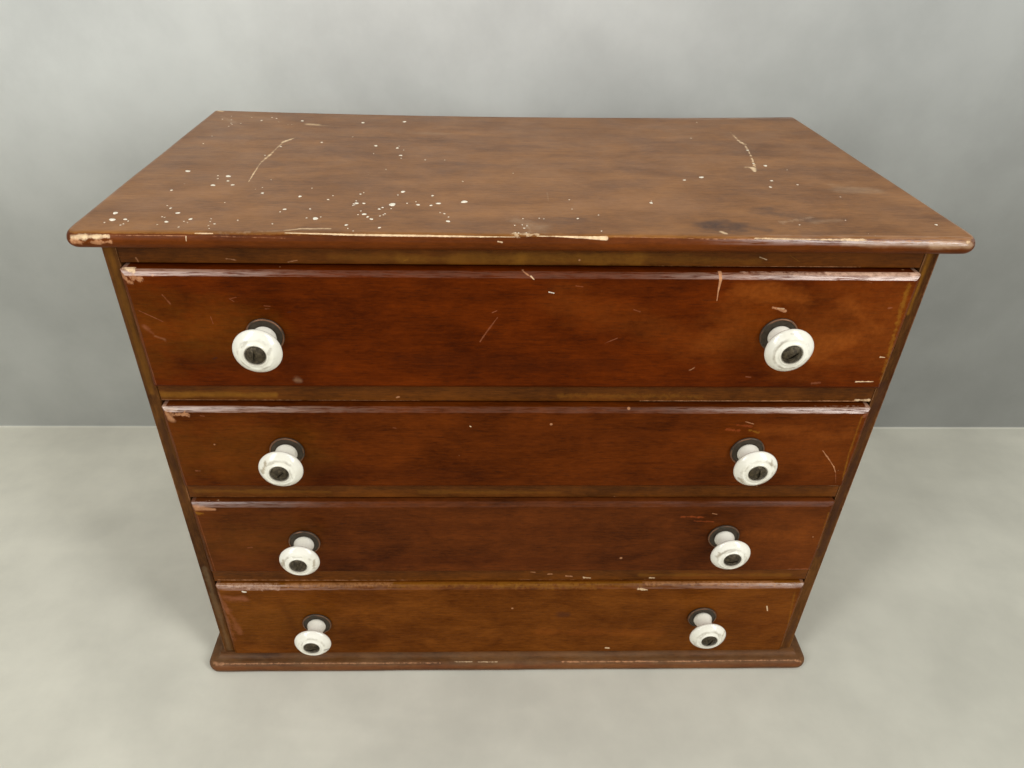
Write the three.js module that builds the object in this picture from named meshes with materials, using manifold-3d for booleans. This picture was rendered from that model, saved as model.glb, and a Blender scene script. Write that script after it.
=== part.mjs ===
// Table-top haberdashery cabinet. A carcass of thin boards holds four inset drawers, each one dovetailed
// and pulled by two porcelain knobs. Sizes are in millimetres. X runs across the front, Y towards the back
// and Z up, and the origin is the middle of the underside of the base board.
import * as THREE from "three";
import { mergeVertices } from "three/addons/utils/BufferGeometryUtils.js";
import Module from "manifold-3d";

const wasm = await Module();
wasm.setup();

// Carcass
const carcassWidth = 560;
const carcassDepth = 296;
const sideThickness = 9.5;
const backThickness = 6;
const backRebateWidth = 4.5;
const housingDepth = 3;

// Top board, with a round nosing at the front and both ends. Its right end is sawn a little out of square.
const topThickness = 12;
const topOverhang = 16;
const topBackOverhang = 4;
const topCornerRadius = 10;
const topEndSkew = 8;

// Base board: a round nose below, a hollow above it, and a narrow flat round the foot of the carcass
const baseThickness = 18.5;
const baseNoseHeight = 13;
const baseProjection = 14;
const baseEndExtra = 2;
const baseFlatWidth = 1.6;
const baseCornerRadius = 11;

// Rails between the drawers, with stub tenons in the side boards
const railHeight = 16;
const topRailHeight = 15.5;
const railDepth = 44;
const tenonLength = 4.5;
const tenonHeight = 8;
const tenonShoulder = 9;
const runnerWidth = 18;

// Drawers, from the top one down
const drawerNames = ["drawer_1", "drawer_2", "drawer_3", "drawer_4"];
const openingHeights = [96, 82, 86, 99.5];
const frontsProud = [9.4, 8.5, 7, 6.6];
const frontThickness = 20;
const frontArrisRadius = 4;
const frontCornerRadius = 2.4;
const drawerSideThickness = 8;
const drawerBackThickness = 8;
const drawerBackDrop = 5;
const drawerBottomThickness = 5;
const drawerBottomHeight = 6;
const grooveDepth = 3.5;
const drawerSideGap = 1;
const drawerTopGap = 1.2;
const drawerSideDrop = 1.5;
const runningGap = 0.4;

// Dovetails
const tailPitch = 29;
const lappedTailLength = 12;
const tailTipShare = 0.68;
const dovetailSlopeShare = 0.16;
const fewestTails = 2;

// Knobs, as they were drilled: distance in from the end of each front, left and right, and height above its
// middle
const knobInsets = [
  { left: 100, right: 100 },
  { left: 100, right: 100 },
  { left: 100, right: 100 },
  { left: 97.4, right: 100 },
];
const knobHeights = [
  { left: -1.1, right: 1.2 },
  { left: -0.1, right: 0.4 },
  { left: -0.9, right: 4.7 },
  { left: -0.2, right: 6.4 },
];
const knobRadius = 16.6;
const knobLength = 26.3;
const knobSeatDepth = 1.4;
const knobRingWidth = 1.4;
const plateRadius = 13.4;
const plateThickness = 1;
const plateRimHeight = 1.7;
const plateRimWidth = 1.5;

// Bolt and nut of a knob
const boltRadius = 2.4;
const boltHeadRadius = 7.5;
const boltHeadEdge = 1;
const boltHeadDome = 2.3;
const boltTail = 1.5;
const nutThickness = 3.5;
const nutRadius = 5.2;
const slotWidth = 1.6;
const slotDepth = 1.3;
const slotTurns = [
  { left: 84, right: 35 },
  { left: 40, right: 88 },
  { left: 72, right: 12 },
  { left: 5, right: 60 },
];

// Play of a seated joint, overrun of every cut, and what counts as the same corner
const fit = 0.3;
const overrun = 1;
const weldTolerance = 0.0001;

// Counts of facets
const noseSegments = 8;
const hollowSegments = 4;
const cornerSegments = 4;
const arrisSegments = 4;
const roundedTopSegments = 6;
const turnedSegments = 16;
const boltSegments = 12;
const knobProfilePoints = 13;
const nutSides = 6;

// Outline of the porcelain, from the collar over the waist and disc to the foot of the ring round the
// bolt head: radius as a share of the knob's radius, height as a share of its length
const knobOutlineShares = [
  [0.45, 0], [0.515, 0.09], [0.47, 0.24], [0.41, 0.38], [0.46, 0.53], [0.76, 0.66], [1, 0.757], [0.955, 0.84],
  [0.8, 0.905], [0.64, 0.94],
];

// Working sizes
const carcassFront = -carcassDepth / 2;
const carcassBack = carcassDepth / 2;
const sideOuter = carcassWidth / 2;
const sideInner = sideOuter - sideThickness;
const backFace = carcassBack - backThickness;
const floors = floorLevels();
const carcassTop = floors[0] + openingHeights[0] + topRailHeight;
const drawerOuter = sideInner - drawerSideGap;
const drawerInner = drawerOuter - drawerSideThickness;

// The level that each drawer runs on, worked out from the base board upwards
function floorLevels() {
  const levels = [];
  let level = baseThickness;
  for (let i = openingHeights.length - 1; i >= 0; i -= 1) {
    levels[i] = level;
    level += openingHeights[i] + railHeight;
  }
  return levels;
}

// A closed geometry as a solid that can be cut and joined. Triangles that weld to a line are dropped.
function solidOf(geometry) {
  const plain = geometry.clone();
  plain.deleteAttribute("normal");
  plain.deleteAttribute("uv");
  const merged = mergeVertices(plain, weldTolerance);
  const corners = merged.index.array;
  const kept = [];
  for (let i = 0; i < corners.length; i += 3) {
    const [a, b, c] = [corners[i], corners[i + 1], corners[i + 2]];
    if (a !== b && b !== c && c !== a) kept.push(a, b, c);
  }
  const vertProperties = Float32Array.from(merged.attributes.position.array);
  return new wasm.Manifold(new wasm.Mesh({ numProp: 3, vertProperties, triVerts: Uint32Array.from(kept) }));
}

// A solid back as a geometry
function geometryOf(solid) {
  const mesh = solid.getMesh();
  const geometry = new THREE.BufferGeometry();
  geometry.setAttribute("position", new THREE.BufferAttribute(mesh.vertProperties, 3));
  geometry.setIndex(new THREE.BufferAttribute(mesh.triVerts, 1));
  geometry.computeVertexNormals();
  return geometry;
}

// A square-edged block between two corners
function block(low, high) {
  const size = new THREE.Vector3().subVectors(high, low);
  const middle = new THREE.Vector3().addVectors(low, high).divideScalar(2);
  const geometry = new THREE.BoxGeometry(size.x, size.y, size.z);
  return solidOf(geometry.translate(middle.x, middle.y, middle.z));
}

function at(x, y, z) {
  return new THREE.Vector3(x, y, z);
}

// An outline in the Y-Z plane, made solid from one X to another
function acrossWidth(outline, lowX, highX) {
  const depth = highX - lowX;
  const geometry = new THREE.ExtrudeGeometry(new THREE.Shape(outline), { depth, bevelEnabled: false });
  geometry.applyMatrix4(new THREE.Matrix4().makeBasis(at(0, 1, 0), at(0, 0, 1), at(1, 0, 0)));
  return solidOf(geometry.translate(lowX, 0, 0));
}

// An outline in the X-Z plane, made solid from one Y to another
function alongDepth(outline, lowY, highY) {
  const depth = highY - lowY;
  const geometry = new THREE.ExtrudeGeometry(new THREE.Shape(outline), { depth, bevelEnabled: false });
  geometry.applyMatrix4(new THREE.Matrix4().makeBasis(at(1, 0, 0), at(0, 0, 1), at(0, -1, 0)));
  return solidOf(geometry.translate(0, highY, 0));
}

// Skins rings of equally many points into one closed body, with a flat cap on its first and last ring
function skin(rings) {
  const count = rings[0].length;
  const positions = rings.flat().flatMap((point) => [point.x, point.y, point.z]);
  const faces = [];
  for (let ring = 0; ring + 1 < rings.length; ring += 1) {
    for (let i = 0; i < count; i += 1) {
      const next = (i + 1) % count;
      const [a, b] = [ring * count + i, ring * count + next];
      faces.push(a, b, b + count, a, b + count, a + count);
    }
  }
  const last = (rings.length - 1) * count;
  for (let i = 1; i + 1 < count; i += 1) {
    faces.push(0, i + 1, i, last, last + i, last + i + 1);
  }
  const geometry = new THREE.BufferGeometry();
  geometry.setAttribute("position", new THREE.Float32BufferAttribute(positions, 3));
  geometry.setIndex(faces);
  return solidOf(geometry);
}

// Points along an arc with its own width and height, run backwards where the end angle is the smaller
function arcPoints(centre, radiusX, radiusY, startAngle, endAngle, segments) {
  const backwards = endAngle < startAngle;
  const curve = new THREE.EllipseCurve(centre.x, centre.y, radiusX, radiusY, startAngle, endAngle, backwards);
  return curve.getPoints(segments);
}

// An outline with rounded corners. Each corner radius shrinks with the inset, as an offset line does.
function roundedOutline(low, high, cornerRadius, inset) {
  const radius = Math.max(cornerRadius - inset, fit);
  const [left, bottom] = [low.x + inset + radius, low.y + inset + radius];
  const [right, top] = [high.x - inset - radius, high.y - inset - radius];
  const quarter = Math.PI / 2;
  return [[right, bottom, -quarter], [right, top, 0], [left, top, quarter], [left, bottom, Math.PI]]
    .flatMap(([x, y, start]) => {
      return arcPoints(new THREE.Vector2(x, y), radius, radius, start, start + quarter, cornerSegments);
    });
}

// A board whose edge is moulded at the front and both ends and cut square at the back. The section gives
// how far the edge stands out from the carcass at each height. Both ends can stand out further by an extra
// width, and the skew shortens the back edge at the right.
function mouldedBoard(section, { projection, cornerRadius, back, endExtra, endSkew }) {
  const rings = section.map(({ x: outward, y: height }) => {
    const halfWidth = sideOuter + endExtra + outward;
    const front = carcassFront - outward;
    const radius = Math.max(cornerRadius - (projection - outward), fit);
    const [leftCentre, rightCentre] = [-1, 1].map((hand) => {
      return new THREE.Vector2(hand * (halfWidth - radius), front + radius);
    });
    const outline = [
      new THREE.Vector2(-halfWidth, back),
      ...arcPoints(leftCentre, radius, radius, Math.PI, (Math.PI * 3) / 2, cornerSegments),
      ...arcPoints(rightCentre, radius, radius, -Math.PI / 2, 0, cornerSegments),
      new THREE.Vector2(halfWidth - endSkew, back),
    ];
    return outline.map((point) => at(point.x, point.y, height));
  });
  return skin(rings);
}

// The block that a board or rail takes up, grown by the play of its joint on every side
function pocket(low, high) {
  return block(low.clone().subScalar(fit), high.clone().addScalar(fit));
}

// A half-round nose of the given height, from its foot up to its top
function nosePoints(projection, height) {
  const radius = height / 2;
  const centre = new THREE.Vector2(projection - radius, radius);
  return arcPoints(centre, radius, radius, -Math.PI / 2, Math.PI / 2, noseSegments);
}

// The hollow of the base rises from the top of the nose to the flat round the carcass
function baseSection() {
  const nose = nosePoints(baseProjection, baseNoseHeight);
  const hollowWidth = baseProjection - baseNoseHeight / 2 - baseFlatWidth;
  const hollowHeight = baseThickness - baseNoseHeight;
  const centre = new THREE.Vector2(baseFlatWidth + hollowWidth, baseThickness);
  const hollow = arcPoints(centre, hollowWidth, hollowHeight, -Math.PI / 2, -Math.PI, hollowSegments);
  return [...nose, ...hollow.slice(1)];
}

// Corners of a side board, which stands in housings in the base and top boards
function sideCorners(side) {
  const [low, high] = side === "left" ? [-sideOuter, -sideInner] : [sideInner, sideOuter];
  return {
    low: at(low, carcassFront, baseThickness - housingDepth + fit),
    high: at(high, carcassBack, carcassTop + housingDepth - fit),
  };
}

function backPanelCorners() {
  const edge = sideInner + backRebateWidth - fit;
  return {
    low: at(-edge, backFace + fit, baseThickness + fit),
    high: at(edge, carcassBack, carcassTop - fit),
  };
}

// A rail between the side boards: its body, and the stub tenon at both of its ends
function railBlocks(low, height) {
  const middle = low + height / 2;
  const bodyEdge = sideInner - fit;
  const tenonEdge = sideInner + tenonLength - fit;
  const tenonFront = carcassFront + tenonShoulder;
  const tenonBack = carcassFront + railDepth - tenonShoulder;
  return {
    body: [at(-bodyEdge, carcassFront, low), at(bodyEdge, carcassFront + railDepth, low + height)],
    tenon: [
      at(-tenonEdge, tenonFront, middle - tenonHeight / 2),
      at(tenonEdge, tenonBack, middle + tenonHeight / 2),
    ],
  };
}

// Heights of the three divider rails and of the top rail, each under or over a drawer's opening
const dividerLows = floors.slice(0, -1).map((floor) => floor - railHeight);
const topRailLow = carcassTop - topRailHeight;

function topBoard() {
  const board = mouldedBoard(nosePoints(topOverhang, topThickness), {
    projection: topOverhang,
    cornerRadius: topCornerRadius,
    back: carcassBack + topBackOverhang,
    endExtra: 0,
    endSkew: topEndSkew,
  });
  const { left, right } = sidePockets();
  return board.translate([0, 0, carcassTop]).subtract(left).subtract(right);
}

function baseBoard() {
  const board = mouldedBoard(baseSection(), {
    projection: baseProjection,
    cornerRadius: baseCornerRadius,
    back: carcassBack,
    endExtra: baseEndExtra,
    endSkew: 0,
  });
  const { left, right } = sidePockets();
  return board.subtract(left).subtract(right);
}

function sidePockets() {
  const left = sideCorners("left");
  const right = sideCorners("right");
  return { left: pocket(left.low, left.high), right: pocket(right.low, right.high) };
}

// A runner is housed in its side board, level with the rail in front of it
function runnerCorners(side, low) {
  const [outer, inner] = [sideInner + housingDepth - fit, sideInner - runnerWidth];
  const [from, to] = side === "left" ? [-outer, -inner] : [inner, outer];
  const front = carcassFront + railDepth + fit;
  return { low: at(from, front, low), high: at(to, backFace, low + railHeight) };
}

// A side board with its housings, mortises and rebate cut on the inner face
function sideBoard(side) {
  const corners = sideCorners(side);
  let board = block(corners.low, corners.high);
  for (const low of dividerLows) {
    const runner = runnerCorners(side, low);
    board = board
      .subtract(pocket(runner.low, runner.high))
      .subtract(pocket(...railBlocks(low, railHeight).tenon));
  }
  board = board.subtract(pocket(...railBlocks(topRailLow, topRailHeight).tenon));
  const panel = backPanelCorners();
  const rebateLow = at(panel.low.x, panel.low.y, corners.low.z - overrun);
  const rebateHigh = at(panel.high.x, panel.high.y + overrun, corners.high.z + overrun);
  return board.subtract(pocket(rebateLow, rebateHigh));
}

function rail(low, height) {
  const { body, tenon } = railBlocks(low, height);
  return block(...body).add(block(...tenon));
}

// Working sizes of one drawer, measured from the middle of the carcass front and the level it runs on
function drawerSizes(index) {
  const opening = openingHeights[index];
  const face = -frontsProud[index];
  const bottom = runningGap;
  const top = opening - drawerTopGap;
  const end = carcassDepth - backThickness - fit;
  return {
    face,
    bottom,
    top,
    end,
    inner: face + frontThickness,
    backInner: end - drawerBackThickness,
    sideTop: top - drawerSideDrop,
    panelLow: bottom + drawerBottomHeight,
    panelHigh: bottom + drawerBottomHeight + drawerBottomThickness,
    backLow: bottom + drawerBottomHeight + drawerBottomThickness + fit,
    backTop: top - drawerSideDrop - drawerBackDrop,
    middle: (bottom + top) / 2,
  };
}

// Dovetails spaced evenly between two heights: the middle of each, and its half width at the shoulder
function tailsBetween(low, high, length) {
  const count = Math.max(fewestTails, Math.round((high - low) / tailPitch));
  const pitch = (high - low) / count;
  const root = (pitch * tailTipShare) / 2 - length * dovetailSlopeShare;
  return Array.from({ length: count }, (_, i) => ({ middle: low + (i + 1 / 2) * pitch, root }));
}

// Corners of one tail, from a distance before its shoulder line to a distance past it
function tailCorners(tail, shoulder, direction, from, to, growth) {
  const half = (distance) => tail.root + distance * dovetailSlopeShare + growth;
  return [
    new THREE.Vector2(shoulder + direction * from, tail.middle - half(from)),
    new THREE.Vector2(shoulder + direction * to, tail.middle - half(to)),
    new THREE.Vector2(shoulder + direction * to, tail.middle + half(to)),
    new THREE.Vector2(shoulder + direction * from, tail.middle + half(from)),
  ];
}

function frontTails(sizes) {
  return tailsBetween(sizes.bottom, sizes.sideTop, lappedTailLength);
}

function backTails(sizes) {
  return tailsBetween(sizes.backLow, sizes.backTop, drawerBackThickness);
}

// The outline of a drawer side seen from the end of the cabinet, with tails at both of its ends
function drawerSideOutline(sizes) {
  const frontShoulder = sizes.inner + fit;
  const backShoulder = sizes.backInner - fit;
  const frontLength = lappedTailLength;
  const backLength = drawerBackThickness + fit;
  const towardsFront = frontTails(sizes)
    .flatMap((tail) => tailCorners(tail, frontShoulder, -1, 0, frontLength, 0));
  const towardsBack = backTails(sizes)
    .flatMap((tail) => tailCorners(tail, backShoulder, 1, 0, backLength, 0));
  return [
    new THREE.Vector2(frontShoulder, sizes.bottom),
    new THREE.Vector2(sizes.end, sizes.bottom),
    new THREE.Vector2(sizes.end, sizes.backLow),
    new THREE.Vector2(backShoulder, sizes.backLow),
    ...towardsBack,
    new THREE.Vector2(backShoulder, sizes.backTop + fit),
    new THREE.Vector2(sizes.end, sizes.backTop + fit),
    new THREE.Vector2(sizes.end, sizes.sideTop),
    new THREE.Vector2(frontShoulder, sizes.sideTop),
    ...towardsFront.reverse(),
  ];
}

// The section of a drawer side: square below, and rounded over along its top edge
function drawerSideSection(lowX, highX, sizes) {
  const radius = (highX - lowX) / 2;
  const centre = new THREE.Vector2(lowX + radius, sizes.sideTop - radius);
  return [
    new THREE.Vector2(lowX, sizes.bottom),
    new THREE.Vector2(highX, sizes.bottom),
    ...arcPoints(centre, radius, radius, 0, Math.PI, roundedTopSegments),
  ];
}

// The groove that holds the bottom board, cut into the front and both sides
function bottomGroove(sizes) {
  const edge = drawerInner + grooveDepth;
  return pocket(
    at(-edge, sizes.inner - grooveDepth, sizes.panelLow),
    at(edge, sizes.end + overrun, sizes.panelHigh),
  );
}

function drawerSide(side, sizes) {
  const [low, high] = side === "left" ? [-drawerOuter, -drawerInner] : [drawerInner, drawerOuter];
  const front = sizes.inner - lappedTailLength - overrun;
  return acrossWidth(drawerSideOutline(sizes), low, high)
    .intersect(alongDepth(drawerSideSection(low, high, sizes), front, sizes.end + overrun))
    .subtract(bottomGroove(sizes));
}

// A drawer back, with a socket for every tail
function drawerBack(sizes) {
  let board = block(
    at(-drawerOuter, sizes.backInner, sizes.backLow),
    at(drawerOuter, sizes.end, sizes.backTop),
  );
  for (const tail of backTails(sizes)) {
    const corners = tailCorners(tail, sizes.backInner - fit, 1, -overrun, drawerBackThickness + overrun, fit);
    board = board
      .subtract(acrossWidth(corners, -drawerOuter - overrun, -drawerInner + fit))
      .subtract(acrossWidth(corners, drawerInner - fit, drawerOuter + overrun));
  }
  return board;
}

// A drawer front: arrises rounded over on its face, lapped dovetail sockets and the groove behind
function drawerFront(index, sizes) {
  const round = frontArrisRadius;
  const centre = new THREE.Vector2(round, sizes.face + round);
  const arris = arcPoints(centre, round, round, Math.PI, (Math.PI * 3) / 2, arrisSegments);
  const low = new THREE.Vector2(-drawerOuter, sizes.bottom);
  const high = new THREE.Vector2(drawerOuter, sizes.top);
  const rings = [new THREE.Vector2(0, sizes.inner), ...arris].map(({ x: inset, y }) => {
    return roundedOutline(low, high, frontCornerRadius, inset).map((point) => at(point.x, y, point.y));
  });
  let front = skin(rings).subtract(bottomGroove(sizes));
  for (const tail of frontTails(sizes)) {
    const corners = tailCorners(tail, sizes.inner + fit, -1, -overrun, lappedTailLength + fit, fit);
    front = front
      .subtract(acrossWidth(corners, -drawerOuter - overrun, -drawerInner + fit))
      .subtract(acrossWidth(corners, drawerInner - fit, drawerOuter + overrun));
  }
  for (const side of ["left", "right"]) {
    const place = knobPlace(index, side, sizes);
    const radius = boltRadius + fit;
    const hole = new THREE.CylinderGeometry(radius, radius, frontThickness + overrun * 2, boltSegments);
    front = front.subtract(solidOf(hole.translate(place.x, (sizes.face + sizes.inner) / 2, place.z)));
  }
  return front;
}

// The bottom board slides in its grooves from behind and runs under the back
function drawerBottom(sizes) {
  const edge = drawerInner + grooveDepth - fit;
  return block(
    at(-edge, sizes.inner - grooveDepth + fit, sizes.panelLow),
    at(edge, sizes.end, sizes.panelHigh),
  );
}

// Where the axis of a knob meets the face of its drawer
function knobPlace(index, side, sizes) {
  const x = sideOuter - knobInsets[index][side];
  return at(side === "left" ? -x : x, sizes.face, sizes.middle + knobHeights[index][side]);
}

// A turned solid whose profile closes on itself round the bore
function turnedRing(points, segments) {
  return solidOf(new THREE.LatheGeometry([...points, points[0]], segments));
}

function knob() {
  const outline = knobOutlineShares.map(([r, h]) => new THREE.Vector2(r * knobRadius, h * knobLength));
  const skinLine = new THREE.SplineCurve(outline).getSpacedPoints(knobProfilePoints);
  const bore = boltRadius + fit;
  const seat = boltHeadRadius + fit;
  return turnedRing([
    new THREE.Vector2(bore, 0),
    ...skinLine,
    new THREE.Vector2(seat + knobRingWidth, knobLength),
    new THREE.Vector2(seat, knobLength),
    new THREE.Vector2(seat, knobLength - knobSeatDepth),
    new THREE.Vector2(bore, knobLength - knobSeatDepth),
  ], turnedSegments);
}

function backplate() {
  const bore = boltRadius + fit;
  return turnedRing([
    new THREE.Vector2(bore, 0),
    new THREE.Vector2(plateRadius, 0),
    new THREE.Vector2(plateRadius, plateThickness),
    new THREE.Vector2(plateRadius - plateRimWidth / 2, plateRimHeight),
    new THREE.Vector2(plateRadius - plateRimWidth, plateThickness),
    new THREE.Vector2(bore, plateThickness),
  ], turnedSegments);
}

// Seats along the axis of a knob, out from the drawer's face
const plateSeat = fit;
const knobSeat = plateSeat + plateThickness + fit;
const headSeat = knobSeat + knobLength - knobSeatDepth + fit;

// The bolt's domed and slotted head, its shank through the knob, plate and drawer front, and its nut
function boltAndNut(slotTurn) {
  const nutLow = -frontThickness - fit - nutThickness;
  const edge = headSeat + boltHeadEdge;
  const domeRadius = (boltHeadRadius ** 2 + boltHeadDome ** 2) / (2 * boltHeadDome);
  const rise = Math.asin(boltHeadRadius / domeRadius);
  const centre = new THREE.Vector2(0, edge + boltHeadDome - domeRadius);
  const dome = arcPoints(centre, domeRadius, domeRadius, Math.PI / 2 - rise, Math.PI / 2, arrisSegments);
  const shank = solidOf(new THREE.LatheGeometry([
    new THREE.Vector2(0, nutLow - boltTail),
    new THREE.Vector2(boltRadius, nutLow - boltTail),
    new THREE.Vector2(boltRadius, headSeat),
    new THREE.Vector2(boltHeadRadius, headSeat),
    ...dome.slice(0, -1),
    new THREE.Vector2(0, edge + boltHeadDome),
  ], boltSegments));
  const nut = new THREE.CylinderGeometry(nutRadius, nutRadius, nutThickness, nutSides);
  nut.translate(0, nutLow + nutThickness / 2, 0);
  const slotFloor = edge + boltHeadDome - slotDepth;
  const slot = block(
    at(-boltHeadRadius - overrun, slotFloor, -slotWidth / 2),
    at(boltHeadRadius + overrun, slotFloor + slotDepth + overrun, slotWidth / 2),
  ).rotate([0, slotTurn, 0]);
  return shank.add(solidOf(nut)).subtract(slot);
}

// Finishes
const stainedFront = { color: 0x5f2b12, roughness: 0.42, metalness: 0 };
const stainedCarcass = { color: 0x6a4320, roughness: 0.5, metalness: 0 };
const wornTop = { color: 0x8a6747, roughness: 0.5, metalness: 0 };
const bareWood = { color: 0xa98a60, roughness: 0.75, metalness: 0 };
const porcelain = { color: 0xf1eee2, roughness: 0.12, metalness: 0 };
const darkBrass = { color: 0x4a3f33, roughness: 0.5, metalness: 0.8 };
const darkSteel = { color: 0x3b3732, roughness: 0.45, metalness: 0.9 };

function piece(name, solid, finish) {
  const mesh = new THREE.Mesh(geometryOf(solid), new THREE.MeshStandardMaterial(finish));
  mesh.name = name;
  return mesh;
}

function carcass() {
  const group = new THREE.Group();
  group.add(piece("top_board", topBoard(), wornTop));
  group.add(piece("base_board", baseBoard(), stainedCarcass));
  const panel = backPanelCorners();
  group.add(piece("back_panel", block(panel.low, panel.high), bareWood));
  group.add(piece("top_rail", rail(topRailLow, topRailHeight), stainedCarcass));
  dividerLows.forEach((low, i) => {
    group.add(piece(`divider_rail_${i + 1}`, rail(low, railHeight), stainedCarcass));
  });
  for (const side of ["left", "right"]) {
    group.add(piece(`${side}_side`, sideBoard(side), stainedCarcass));
    dividerLows.forEach((low, i) => {
      const corners = runnerCorners(side, low);
      group.add(piece(`${side}_runner_${i + 1}`, block(corners.low, corners.high), bareWood));
    });
  }
  return group;
}

// A knob with its plate and bolt, turned so that its axis points out of the drawer's face
function knobSet(name, place, slotTurn) {
  const group = new THREE.Group();
  group.position.copy(place);
  group.rotation.x = Math.PI;
  const plate = piece(`${name}_backplate`, backplate(), darkBrass);
  plate.position.y = plateSeat;
  const pull = piece(`${name}_knob`, knob(), porcelain);
  pull.position.y = knobSeat;
  group.add(plate, pull, piece(`${name}_bolt`, boltAndNut(slotTurn), darkSteel));
  return group;
}

function drawer(index) {
  const name = drawerNames[index];
  const sizes = drawerSizes(index);
  const group = new THREE.Group();
  group.position.set(0, carcassFront, floors[index]);
  group.add(piece(`${name}_front`, drawerFront(index, sizes), stainedFront));
  group.add(piece(`${name}_back`, drawerBack(sizes), bareWood));
  group.add(piece(`${name}_bottom`, drawerBottom(sizes), bareWood));
  for (const side of ["left", "right"]) {
    group.add(piece(`${name}_${side}_side`, drawerSide(side, sizes), bareWood));
    group.add(knobSet(`${name}_${side}`, knobPlace(index, side, sizes), slotTurns[index][side]));
  }
  return group;
}

const cabinet = new THREE.Group();
cabinet.add(carcass());
drawerNames.forEach((_, index) => cabinet.add(drawer(index)));

export default cabinet;
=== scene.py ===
"""Looks of the table-top haberdashery cabinet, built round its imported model.

Lengths are in metres and colours are linear. X runs across the front, Y towards the back and Z up.
Every worn surface is a grid worked out with numpy, and its wood, glaze or metal is made of shader nodes.
"""

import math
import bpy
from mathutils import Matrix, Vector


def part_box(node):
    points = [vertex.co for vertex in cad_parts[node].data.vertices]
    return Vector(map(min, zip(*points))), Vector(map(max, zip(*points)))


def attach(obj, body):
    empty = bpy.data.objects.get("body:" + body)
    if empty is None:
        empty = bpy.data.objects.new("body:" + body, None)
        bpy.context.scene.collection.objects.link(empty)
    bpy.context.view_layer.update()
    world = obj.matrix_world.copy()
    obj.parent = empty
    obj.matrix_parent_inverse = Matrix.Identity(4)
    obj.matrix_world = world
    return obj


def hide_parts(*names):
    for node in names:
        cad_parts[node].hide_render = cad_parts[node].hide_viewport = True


bl_info = {
    "name": "Haberdashery cabinet",
    "version": (1, 0, 0),
    "blender": (4, 5, 0),
    "location": "View3D > Sidebar > Cabinet",
    "description": "Builds a worn mahogany cabinet of four dovetailed drawers with porcelain knobs",
    "category": "Add Mesh",
}

import bmesh
import bpy
import numpy as np
from bpy.props import FloatProperty, FloatVectorProperty, PointerProperty

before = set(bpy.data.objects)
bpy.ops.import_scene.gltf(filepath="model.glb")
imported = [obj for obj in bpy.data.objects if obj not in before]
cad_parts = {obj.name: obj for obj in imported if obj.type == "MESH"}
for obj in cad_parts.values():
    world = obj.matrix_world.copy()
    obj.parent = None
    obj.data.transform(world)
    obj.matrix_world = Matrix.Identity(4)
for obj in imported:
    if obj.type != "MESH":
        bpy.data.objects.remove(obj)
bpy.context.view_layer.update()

MM = 0.001
CARCASS = "carcass"
DRAWERS = ("drawer_1", "drawer_2", "drawer_3", "drawer_4")
HANDS = ("left", "right")
KNOBS = tuple((drawer, hand) for drawer in DRAWERS for hand in HANDS)
RAILS = ("top_rail", "divider_rail_1", "divider_rail_2", "divider_rail_3")


def corners(node):
    """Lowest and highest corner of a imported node."""
    low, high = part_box(node)
    return np.array(low), np.array(high)


# Settings that a user would change


def tint(red, green, blue):
    """Linear colour of a tone given as 0 to 255 on a screen."""
    share = np.array((red, green, blue)) / 255
    linear = np.where(share <= 0.04045, share / 12.92, ((share + 0.055) / 1.055) ** 2.4)
    return tuple(float(part) for part in linear)


def length(name, description, millimetres):
    return FloatProperty(
        name=name, description=description, default=millimetres * MM, min=0.0, precision=4, unit="LENGTH"
    )


def share_of(name, description, value):
    return FloatProperty(
        name=name, description=description, default=value, min=0.0, max=1.0, subtype="FACTOR"
    )


def power(name, description, watts):
    return FloatProperty(name=name, description=description, default=watts, min=0, unit="POWER")


def tone(name, description, *screen):
    return FloatVectorProperty(
        name=name, description=description, default=tint(*screen), size=3, min=0.0, max=1.0, subtype="COLOR"
    )


class CabinetForms(bpy.types.PropertyGroup):
    """Sizes of the worn wood, the porcelain and the metal."""

    top_corner: length("Top corner", "Plan radius of the top board's front corners", 10)
    top_skew: length("Top skew", "How much shorter the back edge is at the right end", 8)
    top_sag: length("Top sag", "How far the top surface has sunk at the middle of its back edge", 3.2)
    base_corner: length("Base corner", "Plan radius of the base board's front corners", 11)
    base_nose: length("Base nose", "Height of the half-round nose of the base board", 13)
    base_flat: length("Base flat", "Width of the flat between the carcass and the hollow", 1.6)
    base_projection: length("Base projection", "How far the base board stands out from the carcass", 14)
    arris: length("Drawer arris", "Radius of the rounded arris round a drawer front", 4)
    front_corner: length("Drawer corner", "Radius of a drawer front's corners, seen from the front", 1.6)
    arris_flat: share_of("Arris flatness", "How far a worn arris has gone from round to a flat bevel", 0.7)
    front_slack: length("Front slack", "How far the worn drawer front lies inside its packed shape", 0.16)
    soft_edge: length("Soft edge", "Width of the eased edge of the carcass boards and drawer sides", 0.7)
    wear_depth: length("Wear depth", "Depth of the slow unevenness that use has given the boards", 0.3)
    grid_step: length("Grid step", "Distance between the grid lines of a worn surface", 4)
    knob_radius: length("Knob radius", "Radius of a knob's disc", 16.6)
    knob_length: length("Knob length", "Height of a knob from its foot to the ring round the bolt", 26.3)
    knob_waver: length("Knob waver", "Unevenness of the hand-pressed porcelain", 0.12)
    plate_radius: length("Plate radius", "Radius of the plate behind a knob", 13.4)
    bolt_head: length("Bolt head", "Radius of the domed head of a knob's bolt", 6.6)
    slot_width: length("Slot width", "Width of the slot in a bolt head", 1.6)
    slot_turns: FloatVectorProperty(
        name="Slot turns",
        description="Turn of each bolt's slot from level: left then right knob, from the top drawer down",
        default=[math.radians(turn) for turn in (84, 35, 40, 88, 72, 12, 5, 60)],
        size=8,
        unit="ROTATION",
    )


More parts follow.
